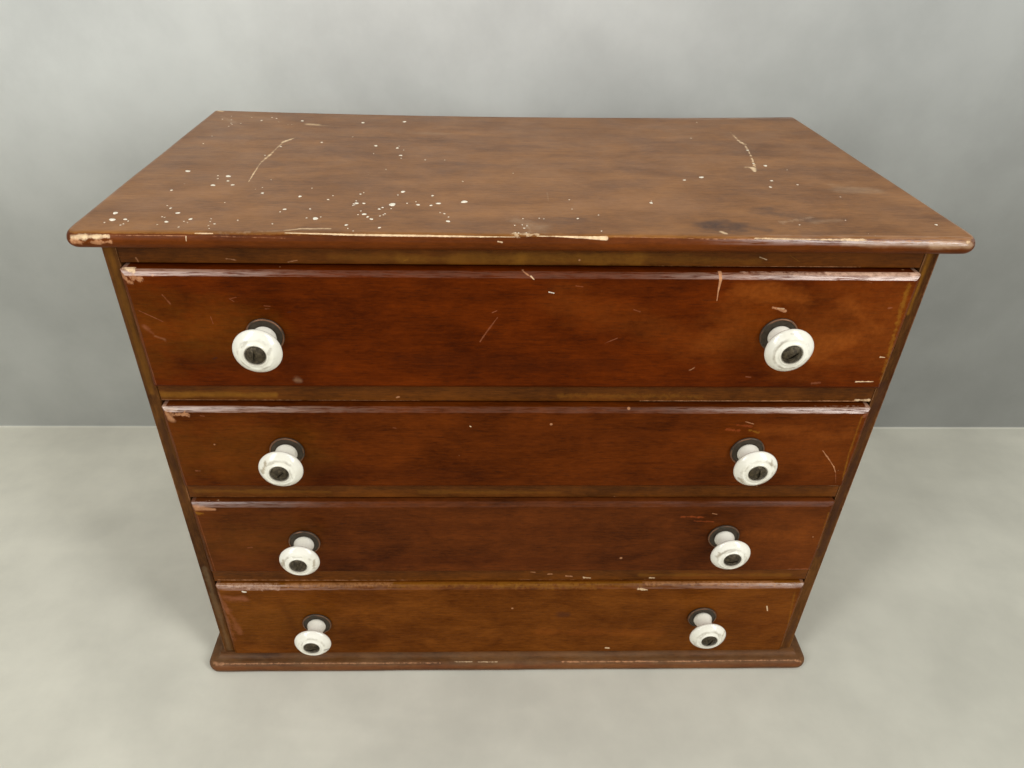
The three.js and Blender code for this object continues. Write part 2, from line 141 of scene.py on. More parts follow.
class CabinetTones(bpy.types.PropertyGroup):
    """Colours of the finishes. Those of the woods' streaks are added below."""

    rubbed: tone("Rubbed edge", "Edge where the varnish is rubbed off", 200, 144, 102)
    raw: tone("Raw wood", "Bare wood in chips and scratches", 246, 214, 170)
    # This tone is both real thin stain and a painted highlight on the right edges of the fronts, the right
    # side board and the fourth front's arris.
    gold: tone("Thin stain", "Golden patches where the stain is thin", 140, 92, 26)
    # This tone is painted light: lit, warmer patches on the drawer fronts, mostly towards their right ends.
    glow: tone("Glow", "Warm patches where light comes back out of the varnish", 150, 78, 24)
    warm: tone("Warm patch", "Warmer, cleaner patches of the top", 168, 118, 74)
    deep: tone("Deep patch", "Patches where the varnish has darkened", 58, 22, 6)
    shade: tone("Dark stain", "Dark rings and stains", 60, 36, 28)
    # This tone is both milky scuffs and, at the right end of the nosing and the back right of the top, a
    # painted highlight and reflection.
    haze: tone("Haze", "Milky scuffs in the varnish", 178, 146, 112)
    scuff: tone("Scuff", "Dull brown scuffs", 152, 92, 62)
    # Bloom is a painted highlight on the worn arrises, partly a milky worn gloss.
    bloom: tone("Bloom", "Milky bloom of the worn gloss on an arris", 212, 172, 144)
    ember: tone("Red patch", "Orange-red patches of bared ground", 140, 66, 30)
    dust: tone("Dust", "Dust in the hollows", 124, 104, 76)
    paint: tone("Paint", "Cream paint specks", 255, 246, 224)
    porcelain: tone("Porcelain", "White glaze", 244, 241, 226)
    grime: tone("Grime", "Dirt in the recesses of the knobs", 128, 112, 88)
    stain: tone("Knob stain", "Brown stain under the glaze", 140, 116, 78)
    plate: tone("Plate", "Dark tarnished plate", 62, 54, 44)
    plate_rim: tone("Plate rim", "Rim where the tarnish is rubbed off", 134, 98, 74)
    bolt: tone("Bolt", "Dark oxidised bolt head", 66, 58, 44)


# What each wood is called, and the tones of its darker and of its lighter streaks
STREAKS = {
    "top": ("the worn top", (105, 62, 22), (160, 107, 54)),
    "nose": ("the top board's nosing", (72, 32, 5), (112, 54, 12)),
    "stain": ("the carcass stain", (72, 36, 4), (108, 58, 12)),
    "side": ("the side boards", (60, 34, 14), (106, 66, 28)),
    "base": ("the base board", (72, 42, 18), (116, 74, 36)),
    "drawer_1_front": ("the first drawer front", (62, 20, 1), (102, 40, 3)),
    "drawer_2_front": ("the second drawer front", (60, 22, 2), (100, 44, 7)),
    "drawer_3_front": ("the third drawer front", (60, 27, 8), (99, 48, 15)),
    "drawer_4_front": ("the fourth drawer front", (78, 36, 4), (119, 65, 17)),
    "inner": ("the bare wood inside", (150, 116, 76), (190, 158, 112)),
}

for part, (words, *screens) in STREAKS.items():
    for kind, degree, screen in zip(("deep", "light"), ("Darker", "Lighter"), screens):
        label = f"{part.replace('_', ' ').capitalize()}, {kind}"
        CabinetTones.__annotations__[f"{part}_{kind}"] = tone(label, f"{degree} streaks of {words}", *screen)


class CabinetStage(bpy.types.PropertyGroup):
    """The floor, the lamps and the camera."""

    # These tones paint the floor lighter at the left and the backdrop lighter upwards and darker to the
    # right: painted light falloff.
    floor: tone("Floor", "Pale floor at the left", 219, 216, 200)
    floor_right: tone("Floor, right", "Pale floor at the right", 199, 197, 182)
    wall_low: tone("Backdrop foot", "Lower half of the backdrop", 171, 172, 165)
    wall_high: tone("Backdrop top", "Backdrop above the height of the cabinet", 209, 211, 206)
    wall_right: share_of("Backdrop right", "Share of the backdrop's brightness left at the right", 0.66)
    wall_place: length("Backdrop place", "Distance of the backdrop behind the middle of the cabinet", 240)
    left_power: power("Left lamp", "Power of the tall lamp at the left", 12.5)
    right_power: power("Right lamp", "Power of the tall lamp at the right", 16.6)
    front_power: power("Front lamp", "Power of the wide weak lamp in front", 7.4)
    sky: share_of("Room light", "Strength of the even light of the room", 0.35)
    camera_place: FloatVectorProperty(
        name="Camera place",
        description="Where the camera stands",
        default=(-0.0308, -0.6005, 0.6358),
        size=3,
        subtype="XYZ_LENGTH",
        unit="LENGTH",
    )
    camera_turn: FloatVectorProperty(
        name="Camera turn",
        description="How the camera is turned",
        default=[math.radians(turn) for turn in (56.1334, -0.904, -1.055)],
        size=3,
        subtype="EULER",
        unit="ROTATION",
    )
    camera_lens: FloatProperty(
        name="Lens", description="Focal length on a sensor 36 mm wide", default=25.563, min=1, unit="CAMERA"
    )
    camera_shift: FloatVectorProperty(
        name="Shift",
        description="Shift of the frame, as a share of its width",
        default=(0.01455, 0.0019),
        size=2,
    )


# Grids


def shell(*levels):
    """Box-shaped grid: every crossing of the three rows of levels that lies on the outside of the box,
    as the index along each row, with the outside as four-cornered faces that point outwards."""
    counts = [len(row) for row in levels]
    outside = np.ones(counts, bool)
    outside[1:-1, 1:-1, 1:-1] = False
    numbers = np.full(counts, -1)
    numbers[outside] = np.arange(outside.sum())
    index = np.argwhere(outside)
    faces = []
    for axis in range(3):
        for end in (0, -1):
            side = np.take(numbers, end, axis)
            quads = np.stack([side[:-1, :-1], side[1:, :-1], side[1:, 1:], side[:-1, 1:]], -1).reshape(-1, 4)
            outwards = (end == -1) != (axis == 1)
            faces.append(quads if outwards else quads[:, ::-1])
    return index, np.concatenate(faces)


def levels(low, high, corner, step, ends=(True, True), turns=5):
    """Row of levels from low to high, a step apart, with lines at even angles of a rounded corner at
    each end: the distance of a line from the corner's middle is the corner times the tangent of its
    angle."""
    fan = corner * np.tan(np.linspace(0, math.pi / 4, turns + 1))
    inner = (low + corner * ends[0], high - corner * ends[1])
    count = max(2, round((inner[1] - inner[0]) / step) + 1)
    rows = [np.linspace(*inner, count)]
    if ends[0]:
        rows.append(inner[0] - fan)
    if ends[1]:
        rows.append(inner[1] + fan)
    return np.unique(np.concatenate(rows).round(7))


def moulded(low, high, section, corner, step, open_end=False):
    """Board with rounded corners and a moulded edge, in its own width, length and thickness. Section
    holds a row for each grid line through the thickness: how far the edge is set in there, and the
    height. A point is the middle of the nearest corner plus the way from it to the point of a box round
    the board: that way is turned to a circle by dividing it by its length, and its reach is the corner
    less the set-in. Where the set-in is more than the corner, the middle moves in by the rest. With
    open_end the far end is square."""
    across = levels(low[0], high[0], corner, step)
    along = levels(low[1], high[1], corner, step, (True, not open_end))
    index, faces = shell(across, along, section)
    box = np.stack([across[index[:, 0]], along[index[:, 1]]], -1)
    near, far = np.array(low) + corner, np.array(high) - corner
    if open_end:
        far[1] = high[1]
    middle = np.clip(box, near, far)
    way = box - middle
    reach = np.abs(way).max(-1, keepdims=True) / corner
    turned = way / np.maximum(np.linalg.norm(way, axis=-1, keepdims=True), 1e-12)
    set_in, height = section[index[:, 2]].T
    radius = np.maximum(corner - set_in, 0.3 * MM)
    moved = (set_in + radius - corner)[:, None]
    fixed = np.array([(low[0] + high[0]) / 2, high[1] if open_end else (low[1] + high[1]) / 2])
    half = np.array([(far[0] - near[0]) / 2, (far[1] - near[1]) / (1 if open_end else 2)])
    plan = fixed + (middle - fixed) * (1 - moved / half) + radius[:, None] * reach * turned
    return np.column_stack([plan, height]), faces


def half_round(radius, turns):
    """Section of a half-round nose from its foot to its top: set-in is the radius less its cosine share."""
    angle = np.linspace(-math.pi / 2, math.pi / 2, turns)
    return np.column_stack([radius * (1 - np.cos(angle)), radius * (1 + np.sin(angle))])


def normals_of(points, faces):
    """Unit normals at the points: the sum of the cross products of the diagonals of the faces round
    each."""
    a, b, c, d = (points[column] for column in faces.T)
    cross = np.cross(c - a, d - b)
    total = np.zeros_like(points)
    for column in faces.T:
        np.add.at(total, column, cross)
    return total / np.maximum(np.linalg.norm(total, axis=1, keepdims=True), 1e-15)


def waver(points, wavelength, seed):
    """Slow unevenness from 0 to 1: half of one plus the mean of nine sine waves whose directions,
    lengths and phases are drawn from the seed."""
    draw = np.random.default_rng(seed)
    ways = draw.normal(size=(3, 9))
    ways /= np.linalg.norm(ways, axis=0) * wavelength * draw.uniform(0.5, 1.8, 9)
    waves = np.sin(2 * math.pi * (points @ ways + draw.uniform(0, 1, 9)))
    return np.clip(0.5 + waves.mean(1), 0, 1)


def dented(points, faces, depth, wavelength, seed, dents=()):
    """Points moved inwards along their normals by the waver times the depth, and in each dent by its own
    depth times a bell curve of the distance from its middle."""
    inwards = depth * waver(points, wavelength, seed)
    for place, reach, deep in dents:
        distance = np.linalg.norm((points - np.array(place) * MM) / (np.array(reach) * MM), axis=1)
        inwards = inwards + deep * MM * np.exp(-(distance**2))
    return points - inwards[:, None] * normals_of(points, faces)


def spline(points, count):
    """Smooth line through the points: on each span the cubic whose slope at a point is half the way
    between its two neighbours, read at evenly spaced steps."""
    points = np.asarray(points, float)
    padded = np.vstack([2 * points[0] - points[1], points, 2 * points[-1] - points[-2]])
    place = np.linspace(0, len(points) - 1, count)
    span = np.minimum(place.astype(int), len(points) - 2)
    t = (place - span)[:, None]
    a, b, c, d = (padded[span + i] for i in range(4))
    return b + t * (c - a) / 2 + t**2 * (a - 2.5 * b + 2 * c - d / 2) + t**3 * (1.5 * (b - c) + (d - a) / 2)


def turned(profile, count, sides=None):
    """Profile of radius and height carried round the Z axis. Where sides gives a number above zero for a
    point of the profile, its circle becomes a polygon: the radius is divided by the cosine of the angle
    to the nearest flat. Returns points, faces and the share of turn and of profile at every face corner."""
    profile = np.asarray(profile, float)
    rings = len(profile)
    angle = 2 * math.pi * np.arange(count) / count
    radius = np.repeat(profile[:, :1], count, 1)
    if sides is not None:
        flats = np.asarray(sides)[:, None]
        wedge = 2 * math.pi / np.maximum(flats, 3)
        off = (angle + wedge / 2) % wedge - wedge / 2
        radius = np.where(flats > 0, radius * np.cos(wedge / 2) / np.cos(off), radius)
    height = np.repeat(profile[:, 1:], count, 1)
    points = np.stack([radius * np.cos(angle), radius * np.sin(angle), height], -1)
    grids = np.meshgrid(np.arange(rings - 1), np.arange(count), indexing="ij")
    ring, place = (grid.ravel() for grid in grids)
    steps = ((0, 0), (0, 1), (1, 1), (1, 0))
    faces = np.stack([(ring + i) * count + (place + j) % count for i, j in steps], -1)
    shares = np.stack([np.stack([(place + j) / count, (ring + i) / (rings - 1)], -1) for i, j in steps], 1)
    return points.reshape(-1, 3), faces, shares


def out_of_face(points, place):
    """Points turned so that their Z axis comes out of a drawer's face at a place."""
    return points @ np.array([[1, 0, 0], [0, 0, 1], [0, -1, 0]]) + place


# Pieces

SHARP_FROM = math.radians(38)  # an edge of a piece is sharp from this angle
EASED_FROM = math.radians(40)  # an edge of a packed board is eased from this angle


def make_mesh(name, points, faces, shares=None, weld=False):
    """Mesh of a grid, with smooth faces whose sharp edges stay sharp. Welding closes seams and poles."""
    mesh = bpy.data.meshes.new(name)
    mesh.from_pydata(points.tolist(), [], faces.tolist())
    if shares is not None:
        mesh.uv_layers.new(name="turning").uv.foreach_set("vector", shares.reshape(-1))
    if weld:
        form = bmesh.new()
        form.from_mesh(mesh)
        bmesh.ops.remove_doubles(form, verts=form.verts, dist=1e-7)
        bmesh.ops.dissolve_degenerate(form, edges=form.edges, dist=1e-8)
        bmesh.ops.recalc_face_normals(form, faces=form.faces)
        form.to_mesh(mesh)
        form.free()
    return mesh


def shade_smooth(mesh):
    mesh.polygons.foreach_set("use_smooth", np.ones(len(mesh.polygons), bool))
    mesh.set_sharp_from_angle(angle=SHARP_FROM)
    mesh.update()


def new_object(name, data):
    """New object in the scene."""
    piece = bpy.data.objects.new(name, data)
    bpy.context.scene.collection.objects.link(piece)
    return piece


def show(name, mesh, material, body, nodes=()):
    """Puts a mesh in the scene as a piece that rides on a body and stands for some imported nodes."""
    piece = new_object(name, mesh)
    mesh.materials.clear()
    mesh.materials.append(material)
    shade_smooth(mesh)
    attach(piece, body)
    if nodes:
        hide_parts(*nodes)
    return piece


def joined_copy(node, name):
    """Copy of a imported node's mesh with its loose triangles joined and its flat faces made whole."""
    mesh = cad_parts[node].data.copy()
    mesh.name = name
    form = bmesh.new()
    form.from_mesh(mesh)
    bmesh.ops.remove_doubles(form, verts=form.verts, dist=2e-6)
    bmesh.ops.dissolve_limit(form, angle_limit=math.radians(0.5), verts=form.verts, edges=form.edges)
    form.to_mesh(mesh)
    form.free()
    return mesh


def combined(name, mesh, other, operation):
    """Mesh that is left when one closed mesh is cut by, or kept inside, another."""
    first, second = new_object(name, mesh), new_object(name + "_cutter", other)
    cut = first.modifiers.new("cut", "BOOLEAN")
    cut.operation, cut.solver, cut.object = operation, "EXACT", second
    result = bpy.data.meshes.new_from_object(first.evaluated_get(bpy.context.evaluated_depsgraph_get()))
    for piece in (first, second):
        bpy.data.objects.remove(piece)
    if not result.polygons:
        raise RuntimeError(f"{name}: nothing was left of the mesh")
    return result


def finish_packed(nodes, material):
    """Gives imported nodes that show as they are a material."""
    for node in nodes:
        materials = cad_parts[node].data.materials
        materials.clear()
        materials.append(material)


def show_softened(node, name, material, body, width):
    """Shows a joined copy of a packed board whose sharp edges are eased, as planing and handling leave
    them."""
    piece = show(name, joined_copy(node, name), material, body, [node])
    ease = piece.modifiers.new("eased edges", "BEVEL")
    ease.width, ease.segments, ease.limit_method, ease.angle_limit = width, 2, "ANGLE", EASED_FROM
    piece.modifiers.new("flat faces", "WEIGHTED_NORMAL").keep_sharp = True
    return piece


# Shader nodes


class Wiring:
    """Adds nodes to one tree. An input given as a socket is linked, and any other value is set."""

    def __init__(self, tree):
        self.tree = tree

    def add(self, kind, inputs=None, **settings):
        node = self.tree.nodes.new(kind)
        for key, value in settings.items():
            setattr(node, key, value)
        for key, value in (inputs or {}).items():
            if isinstance(value, bpy.types.NodeSocket):
                self.tree.links.new(value, node.inputs[key])
            else:
                node.inputs[key].default_value = value
        return node

    def group(self, name, **inputs):
        node = self.add("ShaderNodeGroup", node_tree=bpy.data.node_groups[name])
        for key, value in inputs.items():
            socket = node.inputs[key.replace("_", " ").capitalize()]
            if isinstance(value, bpy.types.NodeSocket):
                self.tree.links.new(value, socket)
            else:
                socket.default_value = value
        return node.outputs

    def maths(self, operation, *values, clamp=False):
        inputs = dict(enumerate(values))
        return self.add("ShaderNodeMath", inputs, operation=operation, use_clamp=clamp).outputs[0]

    def vectors(self, operation, *values, output=0):
        inputs = dict(enumerate(values))
        return self.add("ShaderNodeVectorMath", inputs, operation=operation).outputs[output]

    def mix(self, share, first, second, way="MIX"):
        inputs = {0: share, 6: first, 7: second}
        return self.add("ShaderNodeMix", inputs, data_type="RGBA", blend_type=way).outputs[2]

    def between(self, value, low, high, to_low=0.0, to_high=1.0, smooth=True):
        inputs = {0: value, 1: low, 2: high, 3: to_low, 4: to_high}
        kind = "SMOOTHSTEP" if smooth else "LINEAR"
        return self.add("ShaderNodeMapRange", inputs, interpolation_type=kind).outputs[0]

    def noise(self, vector, scale, detail=2.0, roughness=0.5, distortion=0.0):
        inputs = {"Vector": vector, "Scale": scale, "Detail": detail, "Roughness": roughness}
        inputs["Distortion"] = distortion
        return self.add("ShaderNodeTexNoise", inputs).outputs[0]

    def place(self):
        return self.add("ShaderNodeTexCoord").outputs["Object"]

    def normal(self):
        return self.add("ShaderNodeNewGeometry").outputs["Normal"]

    def along_profile(self):
        """Share of the way along the profile of a turned piece."""
        return self.parts(self.add("ShaderNodeUVMap", uv_map="turning").outputs[0])[1]

    def parts(self, vector):
        return self.add("ShaderNodeSeparateXYZ", {0: vector}).outputs

    def off(self, value, middle):
        """How far a value is from a middle one."""
        return self.maths("ABSOLUTE", self.maths("SUBTRACT", value, middle))

    def mark(self, where, mark, **more):
        """Mask of one mark, as placed gives it."""
        start, line, first, second, _, strength, torn, soft = mark
        given = {"start": start, "line": line, "first": first, "second": second}
        more |= {"strength": strength, "torn": torn, "soft": soft}
        return self.group("Mark", vector=where, **given, **more)["Mask"]

    def bump(self, height, strength, distance):
        given = {"Height": height, "Strength": strength, "Distance": distance}
        return self.add("ShaderNodeBump", given).outputs[0]

    def feed(self, shader, **sockets):
        for label, socket in sockets.items():
            self.tree.links.new(socket, shader.inputs[label.replace("_", " ")])


def start_group(name, inputs, outputs):
    """New node group with named sockets. Returns its wiring, the sockets it reads and the ones it fills."""
    tree = bpy.data.node_groups.new(name, "ShaderNodeTree")
    for label, value in inputs.items():
        kind = "Float" if isinstance(value, float) else "Color" if len(value) == 4 else "Vector"
        socket = tree.interface.new_socket(label, in_out="INPUT", socket_type=f"NodeSocket{kind}")
        socket.default_value = value
    for label, kind in outputs.items():
        tree.interface.new_socket(label, in_out="OUTPUT", socket_type=f"NodeSocket{kind}")
    wiring = Wiring(tree)
    return wiring, wiring.add("NodeGroupInput").outputs, wiring.add("NodeGroupOutput").inputs


def fill(wiring, outputs, **values):
    for label, socket in values.items():
        wiring.tree.links.new(socket, outputs[label.capitalize()])


def wood_figure_group():
    """Stained wood whose grain runs along X: broad figure, long streaks, short dashes and slow clouds,
    each a noise squeezed across the grain, set the share between the deep and the light colour."""
    inputs = {"Vector": (0.0, 0.0, 0.0), "Deep": (0.1, 0.03, 0.01, 1.0), "Light": (0.2, 0.08, 0.03, 1.0)}
    inputs |= {"Figure": 1.0, "Pores": 0.3, "Flecks": 0.1}
    outputs = {"Colour": "Color", "Share": "Float", "Pores": "Float"}
    w, given, made = start_group("Wood figure", inputs, outputs)

    def squeezed(across):
        return w.vectors("MULTIPLY", given["Vector"], (1.0, across, across))

    broad = w.noise(squeezed(4.0), 7.0, 6.0, 0.62, 0.7)
    streaks = w.noise(squeezed(26.0), 12.0, 4.0, 0.65)
    dashes = w.noise(squeezed(5.0), 130.0, 4.0, 0.7)
    clouds = w.noise(squeezed(1.4), 22.0, 6.0, 0.65, 0.4)
    total = w.maths("MULTIPLY_ADD", broad, 0.3, w.maths("MULTIPLY", streaks, 0.12))
    total = w.maths("MULTIPLY_ADD", clouds, 0.34, w.maths("MULTIPLY_ADD", dashes, 0.24, total))
    centred = w.maths("MULTIPLY", w.maths("SUBTRACT", total, 0.5), w.maths("MULTIPLY", given["Figure"], 7.0))
    share = w.maths("ADD", centred, 0.5, clamp=True)
    colour = w.mix(share, given["Deep"], given["Light"])
    pores = w.between(w.noise(squeezed(14.0), 80.0, 3.0, 0.7), 0.53, 0.7)
    dark = w.mix(w.maths("MULTIPLY", pores, given["Pores"]), colour, (0.012, 0.005, 0.002, 1.0))
    bright = w.between(w.noise(squeezed(6.0), 170.0, 3.0, 0.7), 0.58, 0.74)
    bright = w.maths("MULTIPLY", bright, given["Flecks"])
    flecked = w.mix(bright, dark, w.mix(1.0, given["Light"], (1.7, 1.5, 1.2, 1.0), "MULTIPLY"))
    fill(w, made, colour=flecked, share=share, pores=pores)


def mark_group():
    """Mark along a line from a start: one where the distance to the line is well under the width, and
    falling to nothing at the width, which changes evenly from end to end. The torn share times a noise
    pushes the distance about, the gap share times the holes thins the mark, and an uneven value scales
    it."""
    inputs = {"Vector": (0.0, 0.0, 0.0), "Start": (0.0, 0.0, 0.0), "Line": (0.0, 0.0, 0.0)}
    inputs |= {"First": 0.001, "Second": 0.001, "Torn": 0.0, "Noise": 0.0, "Soft": 0.5}
    inputs |= {"Gap": 0.0, "Holes": 0.0, "Strength": 1.0, "Uneven": 1.0}
    w, given, made = start_group("Mark", inputs, {"Mask": "Float"})
    way = w.vectors("SUBTRACT", given["Vector"], given["Start"])
    along = w.vectors("DOT_PRODUCT", way, given["Line"], output=1)
    square = w.vectors("DOT_PRODUCT", given["Line"], given["Line"], output=1)
    share = w.maths("DIVIDE", along, w.maths("MAXIMUM", square, 1e-12))
    share = w.maths("MINIMUM", w.maths("MAXIMUM", share, 0.0), 1.0)
    scaled = w.add("ShaderNodeVectorMath", {0: given["Line"], "Scale": share}, operation="SCALE").outputs[0]
    distance = w.vectors("DISTANCE", way, scaled, output=1)
    growth = w.maths("SUBTRACT", given["Second"], given["First"])
    width = w.maths("MULTIPLY_ADD", share, growth, given["First"])
    pushed = w.maths("MULTIPLY_ADD", w.maths("MULTIPLY", width, given["Torn"]), given["Noise"], distance)
    inner = w.maths("MULTIPLY", width, w.maths("SUBTRACT", 1.0, given["Soft"]))
    mask = w.maths("MULTIPLY", w.between(pushed, inner, width, 1.0, 0.0), given["Strength"])
    lost = w.maths("MULTIPLY", w.maths("MULTIPLY", mask, given["Gap"]), given["Holes"])
    kept = w.maths("SUBTRACT", mask, lost)
    fill(w, made, mask=w.maths("MINIMUM", w.maths("MULTIPLY", kept, given["Uneven"]), 1.0))


def edge_group():
    """Distance to the nearest edge of a box: the middle one of the distances to its nearer face on each
    axis."""
    inputs = {"Vector": (0.0, 0.0, 0.0), "Low": (0.0, 0.0, 0.0), "High": (1.0, 1.0, 1.0)}
    w, given, made = start_group("Edge distance", inputs, {"Distance": "Float"})
    low = w.vectors("SUBTRACT", given["Vector"], given["Low"])
    high = w.vectors("SUBTRACT", given["High"], given["Vector"])
    parts = w.parts(w.vectors("MINIMUM", low, high))
    least = w.maths("MINIMUM", parts[0], parts[1])
    most = w.maths("MAXIMUM", parts[0], parts[1])
    middle = w.maths("MAXIMUM", least, w.maths("MINIMUM", most, parts[2]))
    fill(w, made, distance=middle)


def wear_group():
    """Wear along edges: where the distance to the edge, pushed about by a fine and a slow noise, is
    under the width. The slow noise leaves whole stretches unworn."""
    inputs = {"Vector": (0.0, 0.0, 0.0), "Distance": 0.0, "Width": 0.002, "Ragged": 1.0, "Stretches": 1.0}
    w, given, made = start_group("Edge wear", inputs, {"Mask": "Float"})
    fine = w.maths("SUBTRACT", w.noise(given["Vector"], 260.0, 4.0, 0.7), 0.5)
    slow = w.maths("SUBTRACT", w.noise(given["Vector"], 16.0, 3.0, 0.6), 0.5)
    push = w.maths("MULTIPLY", w.maths("MULTIPLY", fine, given["Ragged"]), 3.0)
    push = w.maths("MULTIPLY_ADD", w.maths("MULTIPLY", slow, given["Stretches"]), 6.0, push)
    moved = w.maths("MULTIPLY_ADD", push, given["Width"], given["Distance"])
    fill(w, made, mask=w.between(moved, w.maths("MULTIPLY", given["Width"], 0.4), given["Width"], 1.0, 0.0))


def dust_group():
    """Dust that lies where the surface faces up, thinned by a noise."""
    inputs = {"Vector": (0.0, 0.0, 0.0), "Normal": (0.0, 0.0, 1.0), "Amount": 0.3}
    w, given, made = start_group("Dust", inputs, {"Mask": "Float"})
    up = w.parts(given["Normal"])[2]
    lying = w.between(up, 0.2, 0.95)
    patch = w.between(w.noise(given["Vector"], 42.0, 4.0, 0.65), 0.3, 0.75)
    fill(w, made, mask=w.maths("MULTIPLY", w.maths("MULTIPLY", lying, patch), given["Amount"], clamp=True))


def chips_group():
    """Small scattered chips: a cell of a cellular noise holds one where its random value is under the
    share, and the distance to the cell's point is under a size."""
    inputs = {"Vector": (0.0, 0.0, 0.0), "Scale": 60.0, "Size": 0.2, "Part": 0.1}
    w, given, made = start_group("Chips", inputs, {"Mask": "Float"})
    cells = w.add("ShaderNodeTexVoronoi", {"Vector": given["Vector"], "Scale": given["Scale"]})
    draw = w.add("ShaderNodeSeparateColor", {0: cells.outputs["Color"]}).outputs
    held = w.maths("LESS_THAN", draw[0], given["Part"])
    size = w.maths("MULTIPLY", given["Size"], w.maths("ADD", draw[1], 0.3))
    inside = w.between(cells.outputs[0], w.maths("MULTIPLY", size, 0.6), size, 1.0, 0.0)
    fill(w, made, mask=w.maths("MULTIPLY", held, inside))


GROUPS = (wood_figure_group, mark_group, edge_group, wear_group, dust_group, chips_group)


def start_material(name, **constants):
    """New material. Returns it with its wiring and its shader, whose constant sockets are set."""
    material = bpy.data.materials.new(name)
    material.use_nodes = True
    wiring = Wiring(material.node_tree)
    shader = material.node_tree.nodes["Principled BSDF"]
    for label, value in constants.items():
        shader.inputs[label.replace("_", " ")].default_value = value
    return material, wiring, shader


def opaque(colour):
    return (*colour, 1.0)


def shaded(colour, share):
    """Colour made darker or lighter by a share."""
    return opaque([part * share for part in colour])


GRAIN_TURN = {"x": (0.0, 0.0, 0.0), "y": (0.0, 0.0, math.pi / 2), "z": (0.0, math.pi / 2, 0.0)}
FLAT_FRONT = (1.0, 0.0, 1.0)  # takes the depth out of marks on a front face
WORN_EDGE = 0.5 * MM  # width of a rubbed edge
WIDE_MARK = 3 * MM  # half width from which a mark has a coarse edge and no gaps
DULL_GLOSS, WORN_GLOSS = 0.04, 0.12  # shares of the gloss that are left between its bright ends
BARE = ("raw", "rubbed", "paint")  # tones of marks that take the gloss away


def streaks(paint, part):
    """Deep and light colour of a wood."""
    return opaque(getattr(paint, f"{part}_deep")), opaque(getattr(paint, f"{part}_light"))


def draw_marks(w, paint, marks, colour, bare, place, grained, fine, flat, before):
    """Colour and bareness of a wood after its marks, from those before them. Flat drops an axis from the
    marks, and before ends them behind a depth."""
    coarse = w.noise(w.vectors("MULTIPLY", grained, (1.0, 2.0, 2.0)), 30.0, 6.0, 0.65)
    coarse = w.maths("SUBTRACT", coarse, 0.5)
    holes = w.between(w.noise(place, 420.0, 3.0, 0.6), 0.5, 0.64)
    uneven = w.between(w.noise(place, 260.0, 3.0, 0.6), 0.3, 0.7, 0.72, 1.1)
    where = w.vectors("MULTIPLY", place, flat)
    ahead = 1.0
    if before is not None:
        ahead = w.between(w.parts(place)[1], before - 0.5 * MM, before + 0.5 * MM, 1.0, 0.0)
    uneven = w.maths("MULTIPLY", uneven, ahead)
    for mark in marks:
        _, _, first, second, label, _, torn, _ = mark
        wide = max(first, second) > WIDE_MARK
        noise, gap = (coarse, 0.0) if wide else (fine, min(0.5, torn * 0.2))
        mask = w.mark(where, mark, noise=noise, gap=gap, holes=holes, uneven=uneven)
        colour = w.mix(mask, colour, opaque(getattr(paint, label)))
        if label in BARE:
            bare = w.maths("MAXIMUM", bare, mask)
    return colour, bare


def leave_sheen(w, paint, sheen, film, colour, bare, place, grained, distance):
    """Colour and coat of a wood whose gloss is left on its edges, with a painted highlight in the colour
    where that gloss lies. Sheen is the weight of that gloss, the share of the painted highlight, partly a
    milky worn bloom, mixed into the colour, its reach, the two distances across between which it comes in,
    and the place they count from on both sides, or None for distances to the right only. Film is the gloss of
    the faces that point up."""
    weight, milky_highlight, reach, fade, dull = sheen
    streaky = w.noise(w.vectors("MULTIPLY", grained, (1.0, 14.0, 14.0)), 60.0, 4.0, 0.7)
    streaky = w.between(streaky, 0.3, 0.58)
    coat = w.between(distance, reach - 0.25 * MM, reach + 0.15 * MM, weight, 0.0)
    coat = w.maths("MULTIPLY", coat, streaky)
    across, least = w.parts(place)[0], DULL_GLOSS
    if dull is not None:
        across, least = w.off(across, dull), WORN_GLOSS
    coat = w.maths("MULTIPLY", coat, w.between(across, *fade, least, 1.0))
    up = w.parts(w.normal())[2]
    coat = w.maths("MULTIPLY", coat, w.between(up, 0.1, 0.3))
    coat = w.maths("MULTIPLY", coat, w.maths("SUBTRACT", 1.0, bare), clamp=True)
    # Painted highlight, partly a milky worn bloom: the bloom tone mixed into the colour by the gloss mask.
    colour = w.mix(w.maths("MULTIPLY", coat, milky_highlight), colour, opaque(paint.bloom))
    if film:
        coat = w.maths("MAXIMUM", coat, w.between(up, 0.86, 0.97, 0.0, film))
    return colour, coat


